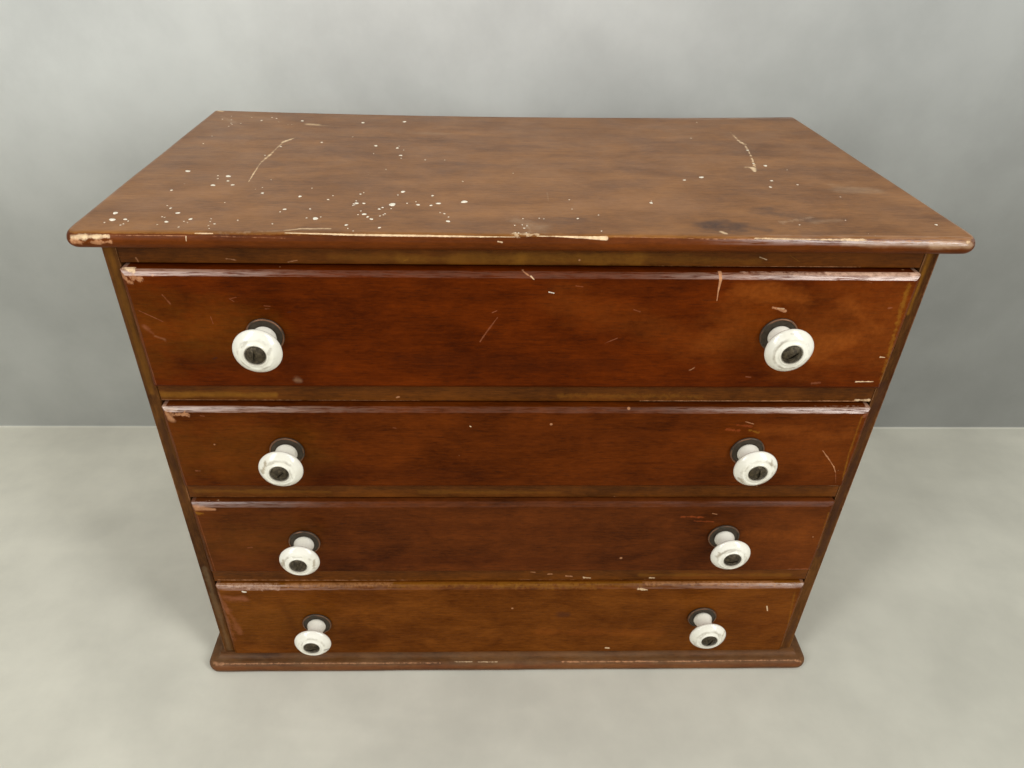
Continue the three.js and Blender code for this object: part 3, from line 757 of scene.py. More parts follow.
def wood(name, paint, part, box, grain="x", offset=0.0, figure=1.0, pores=0.3, flecks=0.1, wear=None,
         marks=(), flat=(1.0, 1.0, 1.0), before=None, under=None, chips=0.0, dust=0.0, rough=(0.3, 0.5),
         specular=0.25, sheen=None, film=0.0):
    """Stained and varnished wood. Wear is the width, raggedness, broken stretches and strength of the
    rubbed edges. Marks are lines on the piece. Under is a steepness, and the wood whose streaks the
    faces have that point up less."""
    material, w, shader = start_material(
        name, Specular_IOR_Level=specular, Coat_Roughness=0.28, Coat_IOR=1.75
    )
    place = w.place()
    turn = {"Vector": place, "Rotation": GRAIN_TURN[grain], "Location": (offset, offset * 0.37, 0.0)}
    grained = w.add("ShaderNodeMapping", turn).outputs[0]
    fine = w.maths("MULTIPLY_ADD", w.noise(grained, 240.0, 4.0, 0.72), 1.8, -0.9)
    deep, light = streaks(paint, part)
    if under:
        steepness, lower_part = under
        upright = w.maths("MULTIPLY_ADD", fine, 0.16, w.parts(w.normal())[2])
        lower = w.between(upright, steepness - 0.05, steepness + 0.05, 1.0, 0.0)
        lower_deep, lower_light = streaks(paint, lower_part)
        deep, light = w.mix(lower, deep, lower_deep), w.mix(lower, light, lower_light)
    figured = w.group(
        "Wood figure", vector=grained, deep=deep, light=light, figure=figure, pores=pores, flecks=flecks
    )
    colour, bare, distance = figured["Colour"], 0.0, None
    if box is not None:
        low, high = (tuple(corner) for corner in box)
        distance = w.group("Edge distance", vector=place, low=low, high=high)["Distance"]
    if wear:
        width, torn, stretches, strength = wear
        worn = w.group(
            "Edge wear", vector=place, distance=distance, width=width, ragged=torn, stretches=stretches
        )
        bare = w.maths("MULTIPLY", worn["Mask"], strength)
        colour = w.mix(bare, colour, opaque(paint.rubbed))
    if marks:
        colour, bare = draw_marks(w, paint, marks, colour, bare, place, grained, fine, flat, before)
    if sheen:
        colour, coat = leave_sheen(w, paint, sheen, film, colour, bare, place, grained, distance)
        w.feed(shader, Coat_Weight=coat)
    if chips:
        fleck = w.group("Chips", vector=place, scale=85.0, size=0.11, part=chips)["Mask"]
        colour = w.mix(w.maths("MULTIPLY", fleck, 0.6), colour, opaque(paint.rubbed))
    if dust:
        lying = w.group("Dust", vector=place, normal=w.normal(), amount=dust)["Mask"]
        colour = w.mix(lying, colour, opaque(paint.dust))
        bare = w.maths("MAXIMUM", bare, lying)
    gloss = w.between(w.noise(place, 24.0, 4.0, 0.6), 0.3, 0.7, *rough)
    gloss = w.maths("MULTIPLY_ADD", bare, 0.35, gloss, clamp=True)
    brushed = w.noise(w.vectors("MULTIPLY", grained, (1.0, 7.0, 7.0)), 95.0, 3.0, 0.6)
    height = w.maths("MULTIPLY_ADD", figured["Pores"], -0.5 * pores, w.maths("MULTIPLY", brushed, 0.9))
    w.feed(shader, Base_Color=colour, Roughness=gloss, Normal=w.bump(height, 0.7, 0.25 * MM))
    return material


def placed(marks, space):
    """Marks given in millimetres, as the start and the line of each in space. Space turns the two
    numbers of a place into a point."""
    lines = []
    for first, second, third, fourth, start, end, *look in marks:
        here, there = space(first, second), space(third, fourth)
        way = tuple(b - a for a, b in zip(here, there))
        lines.append((here, way, start * MM, end * MM, *look))
    return lines


def on_top(level):
    return lambda across, back: (across * MM, back * MM, level)


def on_front(across, up):
    """Point of a front face with no depth, for marks that are flat along Y."""
    return (across * MM, 0.0, up * MM)


def on_nose(front, middle, radius):
    """Point of a half-round nose: its degrees turn up from the foremost line."""
    def space(across, degrees):
        turn = math.radians(degrees)
        return (across * MM, front + radius * (1 - math.cos(turn)), middle + radius * math.sin(turn))
    return space


# Marks of use, among them painted highlights and painted lit patches. A mark runs from one place to another
# and has a half width at each end, a tone, a strength, how torn its edge is and how soft. Lengths are in
# millimetres.

# Across and back on the top surface
TOP_MARKS = (
    (-203.3, -62.1, -206.5, -15.8, 0.70, 0.96, "raw", 0.95, 1.2, 0.8),
    (-206.5, -15.8, -204.3, 8, 1.24, 2.03, "raw", 0.95, 1.2, 0.8),
    (-204.3, 8, -202.4, 45.2, 1.20, 1.53, "raw", 0.95, 1.2, 0.8),
    (-202.4, 45.2, -195.2, 59.8, 2.56, 1.74, "raw", 0.95, 1.2, 0.8),
    (-193, 109.2, -183.4, 107.8, 4.55, 3.84, "raw", 0.6, 2.5, 0.9),
    (-181.1, 105.4, -155.6, 103.6, 3.2, 2.48, "haze", 0.5, 3, 0.9),
    (-94.2, 83.3, -58.6, 83.1, 7.7, 5.14, "haze", 0.22, 2, 1),
    (-127.3, -153.6, -146.3, -154.5, 1.37, 1.71, "raw", 0.6, 1, 0.7),
    (-146.3, -154.5, -155.9, -157.4, 1.3, 0.94, "raw", 0.55, 1.2, 0.7),
    (-155.9, -157.4, -169.4, -159.1, 1.36, 1.02, "haze", 0.5, 2, 0.9),
    (-169.4, -159.1, -198.9, -161.5, 2.2, 1.85, "haze", 0.35, 2.4, 1),
    (204.2, 97.7, 203.3, 66.7, 1.80, 1.54, "raw", 0.95, 1.6, 0.8),
    (203.3, 66.7, 204.9, 53.2, 1.84, 2.43, "raw", 0.95, 2.2, 0.8),
    (204.9, 53.2, 202.4, 33.9, 1.33, 1.23, "raw", 0.95, 2.2, 0.8),
    (202.4, 33.9, 197.5, 8.1, 0.99, 1.23, "raw", 0.95, 2.4, 0.8),
    (197.5, 8.1, 193.4, -10.4, 0.92, 1.52, "raw", 0.95, 2.4, 0.8),
    (190.7, -15.8, 189.2, -24.9, 3.16, 2, "raw", 0.9, 1.6, 0.7),
    (186.1, -12.8, 190.1, -14.5, 2.11, 2.81, "raw", 0.7, 1.6, 0.8),
    (119.2, -143, 139.4, -146.1, 12.4, 14, "shade", 0.82, 1.6, 0.85),
    (124.8, -136.7, 135.4, -132.8, 7.02, 5.5, "shade", 0.5, 2, 0.9),
    (143.1, -143.5, 158.3, -150.1, 9.35, 5.55, "shade", 0.5, 2.2, 0.9),
    (170.7, -116.9, 191.2, -129.7, 16.3, 12.99, "shade", 0.5, 2.6, 1),
    (181.1, -154.8, 215.9, -152.4, 6.68, 5.04, "shade", 0.3, 2.4, 1),
    (12.5, -137.4, 36.4, -133.2, 10.58, 8, "shade", 0.28, 2.4, 1),
    # This broad patch paints a reflection in the top's sheen.
    (242.3, -66.8, 267.6, -68.3, 14.12, 10.58, "haze", 0.42, 2.6, 1),
    (172.7, -135.6, 196.8, -125.8, 2.96, 2.26, "haze", 0.4, 3, 0.9),
    (195.3, -135.1, 214.1, -131, 4.96, 3.33, "haze", 0.28, 3, 1),
    (47, -102.1, 117.3, -106.4, 22.59, 20.46, "warm", 0.4, 2, 1),
    (-48.3, -108.5, -3.6, -124.9, 24.27, 16.37, "warm", 0.34, 2.2, 1),
    (-256.8, -113.8, -222.2, -82, 25.56, 22.8, "warm", 0.3, 2.4, 1),
    (-197.5, -131.3, -161.2, -115.3, 17.1, 9.77, "warm", 0.32, 2.6, 1),
    (228, 83.1, 271.5, 7.3, 42.42, 25.62, "warm", 0.18, 2.2, 1),
    (127.2, -152.5, 128.9, -155.9, 2.2, 1.8, "raw", 0.7, 1.4, 0.8),
    (-6.2, -137.8, 7.1, -148.2, 7.66, 10.54, "haze", 0.34, 3, 0.9),
    (0.2, -143, 2, -156.8, 1.1, 1.44, "haze", 0.4, 3, 0.8),
    (-288.4, 151, -284.9, 149.1, 3.31, 3.31, "raw", 0.7, 1, 0.8),
    (-279.2, 129.7, -258.9, 104.4, 5.1, 3.3, "haze", 0.3, 3.4, 0.8),
    (-256.7, 134.6, -234, 124.1, 7.76, 7.67, "haze", 0.22, 3.4, 0.8),
    (-294.8, 9.8, -292, 15.7, 1.8, 1.82, "haze", 0.5, 1, 0.8),
    (-120.1, -32.3, -116.1, -39.6, 0.92, 0.57, "haze", 0.5, 1.4, 0.7),
    (-105.6, -36.8, -104.7, -16.3, 0.6, 0.44, "haze", 0.5, 1.4, 0.7),
    (-62.9, -20.2, -59, 1.4, 0.68, 0.5, "haze", 0.45, 1.4, 0.7),
    (294.6, -152, 286.6, 150, 0.7, 0.5, "rubbed", 0.75, 2.6, 0.7),
    (-294.8, -152, -294.8, -40, 0.8, 0.5, "rubbed", 0.8, 2.6, 0.7),
    (-294.8, -40, -294.8, 150, 0.5, 0.4, "haze", 0.5, 2.6, 0.8),
    (18.2, -79.7, 17.8, -98.8, 0.6, 0.43, "haze", 0.35, 1.6, 0.8),
)

# Across, and degrees round the nosing from its foremost line up to its top
TOP_NOSE_MARKS = (
    (-288.2, 28.3, -265.2, 34.2, 2.9, 1.6, "raw", 0.9, 1.2, 0.7),
    (-289.3, 4.3, -283.5, -8.2, 2.45, 2.42, "rubbed", 0.8, 1.8, 0.7),
    (-276, -7.6, -264.5, -0.1, 2.17, 1.66, "rubbed", 0.8, 2, 0.8),
    (-265.3, 42.2, -216.6, 40.9, 0.46, 0.33, "rubbed", 0.75, 1.4, 0.8),
    (-216.6, 36.6, -216.6, 9.7, 0.5, 0.32, "raw", 0.8, 0.8, 0.7),
    (-211.1, 58.8, -200.2, 58.4, 0.7, 0.69, "raw", 0.9, 1, 0.6),
    (-200.3, 40.9, -154.4, 30.9, 0.39, 0.31, "rubbed", 0.45, 2, 0.8),
    (-154.7, 67.5, -116.7, 58.6, 0.44, 0.93, "raw", 0.95, 0.8, 0.5),
    (-116.7, 58.6, -56.3, 52.5, 0.94, 0.94, "raw", 0.95, 0.7, 0.5),
    (-56.3, 52.5, -8.4, 50.3, 0.94, 0.36, "raw", 0.95, 0.7, 0.5),
    (-8.4, 78, 5.7, 70, 2.51, 1.26, "raw", 0.55, 2.4, 0.7),
    (5.7, 57.9, 17.8, 57.5, 0.46, 0.46, "raw", 0.75, 1.4, 0.7),
    (17.8, 57.5, 39.7, 50.9, 0.54, 1.37, "raw", 0.95, 0.5, 0.45),
    (39.7, 50.9, 49.9, 47.7, 1.37, 1.91, "raw", 0.97, 0.3, 0.4),
    (50.6, 58.3, 110.6, 49.3, 0.51, 0.35, "rubbed", 0.45, 2.2, 0.8),
    (-19.3, 20.4, -16.7, 15.7, 0.75, 0.63, "raw", 0.75, 1, 0.7),
    (110.6, 48.6, 146.3, 48.8, 0.49, 0.56, "rubbed", 0.6, 2.2, 0.7),
    (146.4, 52.9, 175.6, 49.8, 0.74, 0.64, "raw", 0.7, 2, 0.7),
    (175.6, 49.8, 203, 49.3, 0.64, 0.71, "raw", 0.85, 1.8, 0.7),
    (203.1, 52, 218.7, 47.8, 1.26, 1.06, "raw", 0.8, 1.8, 0.7),
    (218.7, 42.6, 281.7, 39.7, 0.54, 0.8, "rubbed", 0.6, 2, 0.7),
    # These two broad marks paint the highlight on the right end of the nosing.
    (204, 24, 288, 20, 2.6, 4.2, "haze", 0.36, 2.4, 0.9),
    (262, 20, 289, 18, 3, 4.6, "haze", 0.45, 2, 0.9),
    (282.3, 33.5, 289.1, 53.6, 1.95, 1.74, "gold", 0.7, 1, 0.7),
    (285.6, 40, 289.9, 57.3, 1.3, 1.03, "raw", 0.75, 1, 0.7),
)

# Across and up on the front faces of the rails
RAIL_MARKS = {"top_rail": (
    (-130.8, 435.2, -84.3, 434.5, 5, 5.4, "gold", 0.3, 2.2, 1),
    (-84.3, 434.5, -3.9, 434.8, 5.4, 5.8, "gold", 0.5, 2.6, 1),
    (-3.9, 434.8, 77, 435, 5.8, 5.4, "gold", 0.5, 2.6, 1),
    (77, 435, 158.7, 434.6, 5.4, 4, "gold", 0.3, 2.4, 1),
    (158.1, 437.3, 163, 435.6, 0.6, 0.61, "raw", 0.6, 1.4, 0.8),
    (-259.1, 433.6, -258.2, 430.7, 0.74, 0.59, "rubbed", 0.6, 1.6, 0.7),
    (-199.8, 433.6, -193.4, 432.6, 0.74, 0.59, "rubbed", 0.55, 2.2, 0.7),
    (-159.2, 431.4, -153, 432.6, 0.56, 0.49, "rubbed", 0.7, 1.8, 0.8),
    (-81.7, 433.1, -79, 433.8, 0.78, 0.57, "gold", 0.9, 1.2, 0.8),
    (-151.5, 428.9, -3.7, 429.6, 0.6, 0.62, "rubbed", 0.8, 2.2, 0.8),
    (-270.7, 429.6, -151.5, 429.1, 0.5, 0.55, "rubbed", 0.6, 2.4, 0.8),
    (77.7, 429.9, 228.5, 430.6, 0.5, 0.5, "rubbed", 0.65, 2.4, 0.8),
    (178.3, 438.7, 186.2, 434, 0.32, 0.32, "gold", 0.5, 1, 0.7),
), "divider_rail_1": (
    (-267.5, 323.5, -184.3, 323.5, 4.09, 3.65, "gold", 0.62, 2, 0.9),
    (-93.5, 321.3, -91.6, 321.8, 0.9, 0.9, "rubbed", 0.7, 1.4, 0.8),
    (258.3, 320, 268.4, 320, 1.31, 1.59, "raw", 0.75, 1.8, 0.7),
    (-63.1, 317.2, -45.7, 317.1, 2.32, 2.32, "shade", 0.9, 1, 0.6),
    (30.2, 323, 137.1, 322.9, 2.76, 2.78, "gold", 0.28, 2.4, 1),
    (-271, 318.5, -75.9, 318.3, 0.5, 0.5, "rubbed", 0.6, 2.4, 0.8),
    (91.7, 318.6, 258.6, 318.9, 0.55, 0.55, "rubbed", 0.75, 2.2, 0.8),
), "divider_rail_2": (
    (-264.4, 227.2, -154.1, 226, 3.3, 3.31, "gold", 0.3, 2.2, 0.9),
    (-79.9, 226, 36.4, 225.2, 3.32, 3.34, "gold", 0.2, 2.4, 1),
    (-266.6, 220.6, -80.2, 219.7, 0.5, 0.5, "rubbed", 0.3, 2.8, 0.8),
    (70.5, 219.1, 265.9, 218.5, 0.51, 0.51, "rubbed", 0.35, 2.8, 0.8),
), "divider_rail_3": (
    (16.3, 129.1, 19.9, 128.5, 1.17, 0.91, "rubbed", 0.7, 1.6, 0.8),
    (31.8, 126.3, 35.5, 126.3, 1.06, 0.93, "rubbed", 0.6, 1.6, 0.8),
    (48.4, 123.6, 54, 123, 1.19, 0.92, "rubbed", 0.7, 1.6, 0.8),
    (65.1, 121.4, 70.6, 120.8, 1.19, 1.06, "raw", 0.7, 1.6, 0.8),
    (125.8, 120.8, 129.5, 120.5, 1.33, 1.19, "raw", 0.75, 1.4, 0.8),
    (-266.7, 119.9, -84.6, 118.4, 0.66, 0.67, "rubbed", 0.5, 2.6, 0.8),
    (6.6, 118.2, 265.5, 117.4, 0.67, 0.68, "rubbed", 0.55, 2.6, 0.8),
    (116.1, 124.6, 254.6, 123.9, 3.33, 3.35, "gold", 0.3, 2.4, 0.9),
)}

# Across and up on the front edges of the side boards
SIDE_MARKS = {"left_side": (
    (-275.3, 445, -275.3, 325, 3.8, 3.2, "gold", 0.34, 1.8, 0.9),
    (-275.3, 135, -275.3, 15, 3.4, 4, "dust", 0.34, 2.4, 0.9),
    (-275.3, 300, -275.3, 215, 3.6, 3.6, "shade", 0.4, 2, 0.9),
), "right_side": (
    # This mark paints the highlight on the upper front edge of the right side.
    (273.6, 445, 273.6, 395, 3.6, 2.2, "gold", 0.7, 1.8, 0.9),
    (275.3, 335, 275.3, 150, 4.4, 4.4, "shade", 0.62, 2, 0.9),
    (275.3, 62, 275.3, 12, 4.4, 4.4, "shade", 0.55, 2, 0.9),
    (278.6, 445, 278.6, 200, 1.6, 1.4, "deep", 0.5, 1.8, 0.9),
)}

# Across and up on the front faces of the drawers
FRONT_MARKS = ((
    (-275, 384, -190, 384, 62, 36, "gold", 0.16, 1.5, 1),
    # Painted light: the lit right end of the front.
    (255, 384, 150, 384, 70, 40, "glow", 0.34, 1.5, 1),
    # These marks paint the highlight at the right end of the upper arris, partly a milky worn bloom.
    (145, 429.4, 205, 429.4, 1.4, 2.5, "bloom", 0.5, 2, 0.8),
    (205, 429.4, 266, 429.4, 2.5, 2.9, "bloom", 0.95, 1.2, 0.7),
    (-266.6, 429.2, -259.6, 427.4, 1.36, 1.71, "raw", 0.95, 1.6, 0.6),
    (-266.8, 424.9, -262.9, 419.8, 2.37, 1.99, "rubbed", 0.7, 2.4, 0.8),
    (-261.8, 424.2, -253.6, 422.8, 2.64, 1.51, "rubbed", 0.65, 2.6, 0.8),
    (131, 430.2, 131.3, 425.5, 1.77, 1.37, "rubbed", 0.95, 0.5, 0.55),
    (131.3, 425.5, 131.2, 416.5, 1.38, 0.63, "rubbed", 0.95, 0.5, 0.55),
    (131.2, 416.5, 131.6, 409, 0.62, 0.28, "rubbed", 0.85, 0.5, 0.6),
    (-2.8, 428.9, 5.4, 424.6, 0.53, 0.42, "rubbed", 0.7, 1.6, 0.8),
    (3.3, 426.1, 5.4, 424.2, 0.69, 0.55, "raw", 0.9, 1, 0.7),
    (-268.2, 412.4, -266.8, 377.7, 0.42, 0.36, "scuff", 0.55, 1.2, 0.7),
    (-266.8, 377.7, -265.6, 338.4, 0.36, 0.45, "scuff", 0.6, 1.2, 0.7),
    (-262, 386.5, -257.5, 381, 4.2, 4.8, "scuff", 0.5, 3, 0.9),
    (-256.5, 379, -250.4, 376.6, 3.6, 3.4, "rubbed", 0.42, 3, 0.9),
    (-262.4, 398.9, -248.2, 390.5, 0.5, 0.42, "scuff", 0.5, 1.6, 0.8),
    (-163.4, 343, -161.4, 342.4, 4, 4, "haze", 0.3, 2, 0.9),
    (-30.6, 375.7, -26.4, 383, 0.59, 0.87, "scuff", 0.6, 1, 0.8),
    (-26.4, 383, -18.6, 394.9, 0.88, 0.58, "scuff", 0.55, 1.2, 0.8),
    (-22.4, 398.8, -19, 400.3, 0.61, 0.46, "scuff", 0.6, 1.4, 0.7),
    (16, 414.9, 19.4, 414.1, 0.59, 0.44, "paint", 0.95, 0.8, 0.6),
    (-199.9, 408.4, -197, 406.1, 0.48, 0.48, "scuff", 0.45, 1.4, 0.7),
    (-199.3, 408.4, -195, 409.5, 0.36, 0.35, "scuff", 0.4, 1.4, 0.7),
    (-244, 411.1, -240.2, 404.4, 0.62, 0.87, "scuff", 0.4, 1.6, 0.9),
    (-215.1, 394.5, -214.5, 389.1, 0.43, 0.51, "scuff", 0.5, 1.4, 0.8),
    (-177.3, 403.2, -173.3, 402.9, 0.46, 0.39, "scuff", 0.5, 1.4, 0.7),
    (-177, 400.9, -174.3, 401, 0.46, 0.38, "scuff", 0.45, 1.4, 0.7),
    (58, 374.9, 66.1, 379, 0.42, 0.5, "scuff", 0.5, 1.6, 0.8),
    (122.3, 352.4, 125.2, 354.6, 1.06, 0.88, "rubbed", 0.5, 2, 0.9),
    (171.5, 404, 180.9, 401.2, 1.08, 1.42, "rubbed", 0.8, 1.4, 0.7),
    (179.4, 403.1, 175.1, 403.5, 0.66, 0.66, "raw", 0.5, 1.4, 0.8),
    (247.5, 342.8, 260.5, 343, 0.71, 0.62, "raw", 0.8, 1.6, 0.7),
    (215, 341.3, 220.8, 341.8, 1.09, 0.91, "scuff", 0.5, 2, 0.7),
    (164.6, 346.9, 168.4, 346.5, 0.6, 0.51, "scuff", 0.6, 1.4, 0.7),
    (259.1, 364.2, 262.5, 364, 0.67, 0.5, "raw", 0.75, 1.2, 0.7),
    (252.6, 403.9, 255, 404.3, 0.9, 0.65, "scuff", 0.6, 1.4, 0.8),
    (33.9, 419.6, 38.7, 418.9, 0.44, 0.37, "scuff", 0.6, 1.4, 0.8),
    (75.4, 401.7, 79.7, 400.2, 0.66, 0.52, "scuff", 0.5, 2, 0.8),
    (230.2, 424.7, 234.8, 423.2, 0.54, 0.4, "scuff", 0.4, 1.6, 0.7),
    # These two marks paint the highlight on the right arris of the front.
    (260.7, 422.7, 263.1, 386.9, 2.2, 2.4, "gold", 0.6, 2.2, 1),
    (263.1, 386.9, 267.4, 341.1, 2.4, 2.6, "gold", 0.6, 2.2, 1),
    # Painted light: lit patches on the right half of the front.
    (145.8, 417.4, 188.8, 410.1, 10.86, 12.44, "glow", 0.42, 2.4, 1),
    (209.6, 370.2, 232.6, 378.6, 16.1, 13.31, "glow", 0.4, 2.4, 1),
    (221.8, 406.5, 251.7, 386.9, 9.76, 8.66, "glow", 0.24, 2.4, 1),
    (23.8, 409, 125.9, 374, 22.16, 23.15, "glow", 0.16, 2.4, 1),
    (-87.7, 360.5, 70.6, 356.9, 12.64, 11.07, "deep", 0.3, 2, 1),
    (-243.6, 359.8, -138.3, 353.5, 10.17, 11.14, "deep", 0.26, 2, 1),
    (-219.8, 360.7, -217.5, 361.6, 0.99, 0.92, "shade", 0.6, 0.8, 0.7),
    (-162.2, 398.3, -160.1, 398.7, 0.9, 0.82, "shade", 0.5, 0.8, 0.7),
    (-214.6, 415, -184.6, 415.9, 3.68, 2.95, "deep", 0.14, 2, 1),
), (
    (-275, 274, -170, 274, 60, 40, "gold", 0.13, 1.5, 1),
    # Painted light: the lit right end of the front.
    (265, 274, 170, 274, 60, 40, "glow", 0.2, 1.5, 1),
    # This mark paints the highlight at the right end of the upper arris, partly a milky worn bloom.
    (215, 318.8, 266, 318.8, 1.8, 2.8, "bloom", 0.9, 1.4, 0.7),
    (-266.4, 318.3, -256.3, 317.8, 0.64, 0.55, "raw", 0.75, 1.4, 0.8),
    (-256.3, 317.7, -216.6, 317.1, 0.5, 0.46, "scuff", 0.45, 2, 0.7),
    (-267.1, 315.3, -257.1, 314, 1.89, 1.89, "haze", 0.55, 2, 0.8),
    (-265.4, 311.7, -261.6, 306.6, 3.6, 3, "rubbed", 0.66, 3, 0.8),
    (-261, 311.4, -249, 310.4, 3, 1.8, "rubbed", 0.66, 3, 0.8),
    (-267.4, 309.8, -266.7, 275.2, 0.47, 0.4, "scuff", 0.5, 1.6, 0.7),
    (-266.7, 275.2, -264.9, 230.6, 0.41, 0.42, "scuff", 0.4, 1.6, 0.7),
    (-239.9, 309.9, -237.4, 309.5, 0.76, 0.67, "scuff", 0.6, 1, 0.8),
    (-254.7, 256, -251.6, 255.8, 1.05, 0.94, "scuff", 0.6, 1.2, 0.8),
    (240.9, 276.7, 248.1, 268, 0.53, 0.69, "rubbed", 0.75, 1.2, 0.7),
    (248.1, 268, 254.3, 260.2, 0.61, 0.5, "rubbed", 0.7, 1.4, 0.7),
    (254.3, 260.2, 257.2, 254.4, 0.49, 0.49, "rubbed", 0.65, 1.4, 0.7),
    (257.2, 254.4, 260.6, 243.2, 0.47, 0.36, "scuff", 0.5, 1.6, 0.8),
    (257, 238.5, 263.6, 238.6, 0.77, 0.66, "raw", 0.6, 1.4, 0.7),
    (263.8, 311, 267, 312, 2.03, 1.52, "scuff", 0.6, 1.6, 0.8),
    # These two marks paint the highlight on the right arris of the front.
    (262.4, 275.7, 265.5, 246.4, 0.98, 1.01, "gold", 0.5, 1.4, 0.8),
    (262.2, 310.1, 262.8, 275.7, 1.07, 1.02, "gold", 0.5, 1.4, 0.8),
    (-14.9, 287.4, 93.6, 291.4, 16.7, 14.74, "deep", 0.18, 2, 1),
    (-172.9, 257, -30.3, 252.8, 10.39, 10.49, "deep", 0.26, 2, 1),
    # Painted light: a lit patch near the right end.
    (186.1, 297.4, 258.2, 291.7, 11.43, 10.57, "glow", 0.22, 2.4, 1),
    (-38, 300.4, -37.3, 299.9, 0.64, 0.55, "raw", 0.8, 0.8, 0.7),
    (-96.7, 298.9, -94.5, 298.4, 0.67, 0.58, "scuff", 0.5, 1, 0.8),
    (160, 297.5, 170.5, 296.5, 1.3, 1.2, "ember", 0.75, 3, 0.8),
    (168, 302, 178.5, 300.6, 1.1, 1.2, "ember", 0.7, 3, 0.8),
    (173.5, 305, 180, 303, 0.6, 0.5, "rubbed", 0.6, 1.6, 0.8),
    (178, 297, 185.5, 294.5, 1.2, 1.1, "gold", 0.75, 3, 0.8),
), (
    (-275, 176, -190, 176, 60, 40, "gold", 0.1, 1.5, 1),
    # Painted light: the lit right end of the front.
    (265, 176, 190, 176, 55, 35, "glow", 0.22, 1.5, 1),
    (-266.6, 219.6, -240.3, 219.2, 0.78, 0.67, "raw", 0.7, 1.8, 0.8),
    (-266, 214.4, -249.5, 212.9, 3.2, 2, "rubbed", 0.6, 3, 0.8),
    (-264.7, 208.7, -260.6, 208.2, 2.4, 2.1, "gold", 0.85, 2, 0.8),
    (-264.8, 207, -264.2, 177.9, 0.43, 0.44, "scuff", 0.4, 1.6, 0.7),
    (-264.2, 177.9, -263.2, 131.8, 0.44, 0.46, "scuff", 0.4, 1.6, 0.7),
    (246.7, 138.9, 264.8, 139.1, 0.92, 0.78, "scuff", 0.6, 2.4, 0.8),
    # This mark paints the highlight on the right arris of the front.
    (265, 208.3, 266.6, 170.1, 1.08, 1.02, "gold", 0.45, 1.4, 0.8),
    (-161.1, 153, 40.7, 149.6, 8.79, 8.89, "deep", 0.26, 2, 1),
    (-80.9, 191.6, 72.6, 186.4, 11.76, 13.07, "deep", 0.16, 2, 1),
    # Painted light: a lit patch near the right end.
    (197.9, 186.1, 247, 181.1, 11.71, 10.61, "glow", 0.2, 2.4, 1),
    (-229.6, 168.1, -226.1, 168.6, 1.18, 0.95, "scuff", 0.35, 1.6, 0.7),
    (140, 204, 160, 203, 1.1, 1, "ember", 0.75, 3, 0.8),
    (152, 199, 168, 198, 1, 0.9, "ember", 0.6, 3, 0.8),
    (166, 207.5, 170, 206.5, 0.6, 0.5, "rubbed", 0.6, 1.6, 0.8),
), (
    (-275, 72, -190, 72, 60, 40, "gold", 0.12, 1.5, 1),
    # Painted light: the lit right end of the front.
    (265, 72, 190, 72, 50, 35, "glow", 0.1, 1.5, 1),
    # This mark paints the golden highlight along the arris of the fourth front.
    (-266, 117, 266, 117, 3, 3, "gold", 0.5, 1.6, 0.8),
    (-205, 116.6, -110, 116.6, 2, 1.5, "rubbed", 0.3, 2.6, 0.9),
    (120, 116.6, 240, 116.6, 1.5, 2.2, "rubbed", 0.36, 2.6, 0.9),
    # This mark paints the highlight at the left end of the upper arris, partly a milky worn bloom.
    (-267.9, 117.7, -212.1, 114.7, 2.95, 2.29, "bloom", 0.4, 2.6, 0.8),
    (-244.5, 111.4, -241.9, 111, 1.23, 1.1, "paint", 0.9, 1, 0.7),
    (-267.5, 106.2, -263.2, 81.2, 3.54, 3.1, "scuff", 0.42, 3, 0.7),
    (-266.1, 75.6, -264.6, 43.3, 2.94, 2.51, "scuff", 0.34, 3, 0.7),
    (-262.7, 103.7, -244.7, 101.3, 5.6, 5, "scuff", 0.5, 3.6, 1),
    (-262, 84.9, -257, 52.2, 4.4, 3.6, "scuff", 0.34, 3.6, 1),
    (-267.5, 106.2, -267.7, 67, 0.51, 0.48, "scuff", 0.5, 1.6, 0.7),
    (-267.7, 67, -267, 28.2, 0.49, 0.5, "scuff", 0.5, 1.6, 0.7),
    (103.3, 123.1, 116.9, 123.6, 1.07, 0.94, "raw", 0.8, 1.6, 0.7),
    (114.6, 112.6, 123, 111.7, 1.47, 1.2, "raw", 0.75, 1.6, 0.7),
    (239.1, 88.3, 241.1, 81.9, 0.91, 0.73, "raw", 0.65, 1, 0.7),
    (93.6, 27.9, 96.2, 27.5, 1.38, 1.22, "raw", 0.7, 1, 0.7),
    (45.3, 77.6, 52.8, 77.5, 6.46, 5.02, "shade", 0.5, 1.4, 0.8),
    (-16.3, 115.5, 74.9, 114.4, 2.42, 2.43, "gold", 0.35, 2.2, 0.8),
    # This mark paints the highlight on the right arris of the front.
    (261, 107.1, 265.5, 61.3, 1.14, 1.09, "gold", 0.4, 1.4, 0.8),
    # Painted light: a lit patch across the middle.
    (27.7, 52.8, 143.8, 48.9, 8.94, 9, "glow", 0.22, 2.4, 1),
    (-212.5, 100.4, -202.1, 42.8, 6.97, 6.27, "deep", 0.25, 2, 1),
    (-158, 54.4, -125.1, 51.1, 10.43, 8.97, "deep", 0.3, 2, 1),
))

# Gloss left on the upper arris of each drawer front: its weight, the share of painted highlight, partly a
# milky worn bloom, mixed into its colour, the distances between which it comes in, and the place across from
# which those count
FRONT_SHEENS = (
    (1.0, 0.56, (0.08, 0.27), -0.03),
    (0.95, 0.42, (0.08, 0.27), 0.0),
    (0.6, 0.2, (0.2, 0.34), 0.09),
    (0.65, 0.28, (0.07, 0.25), 0.0),
)

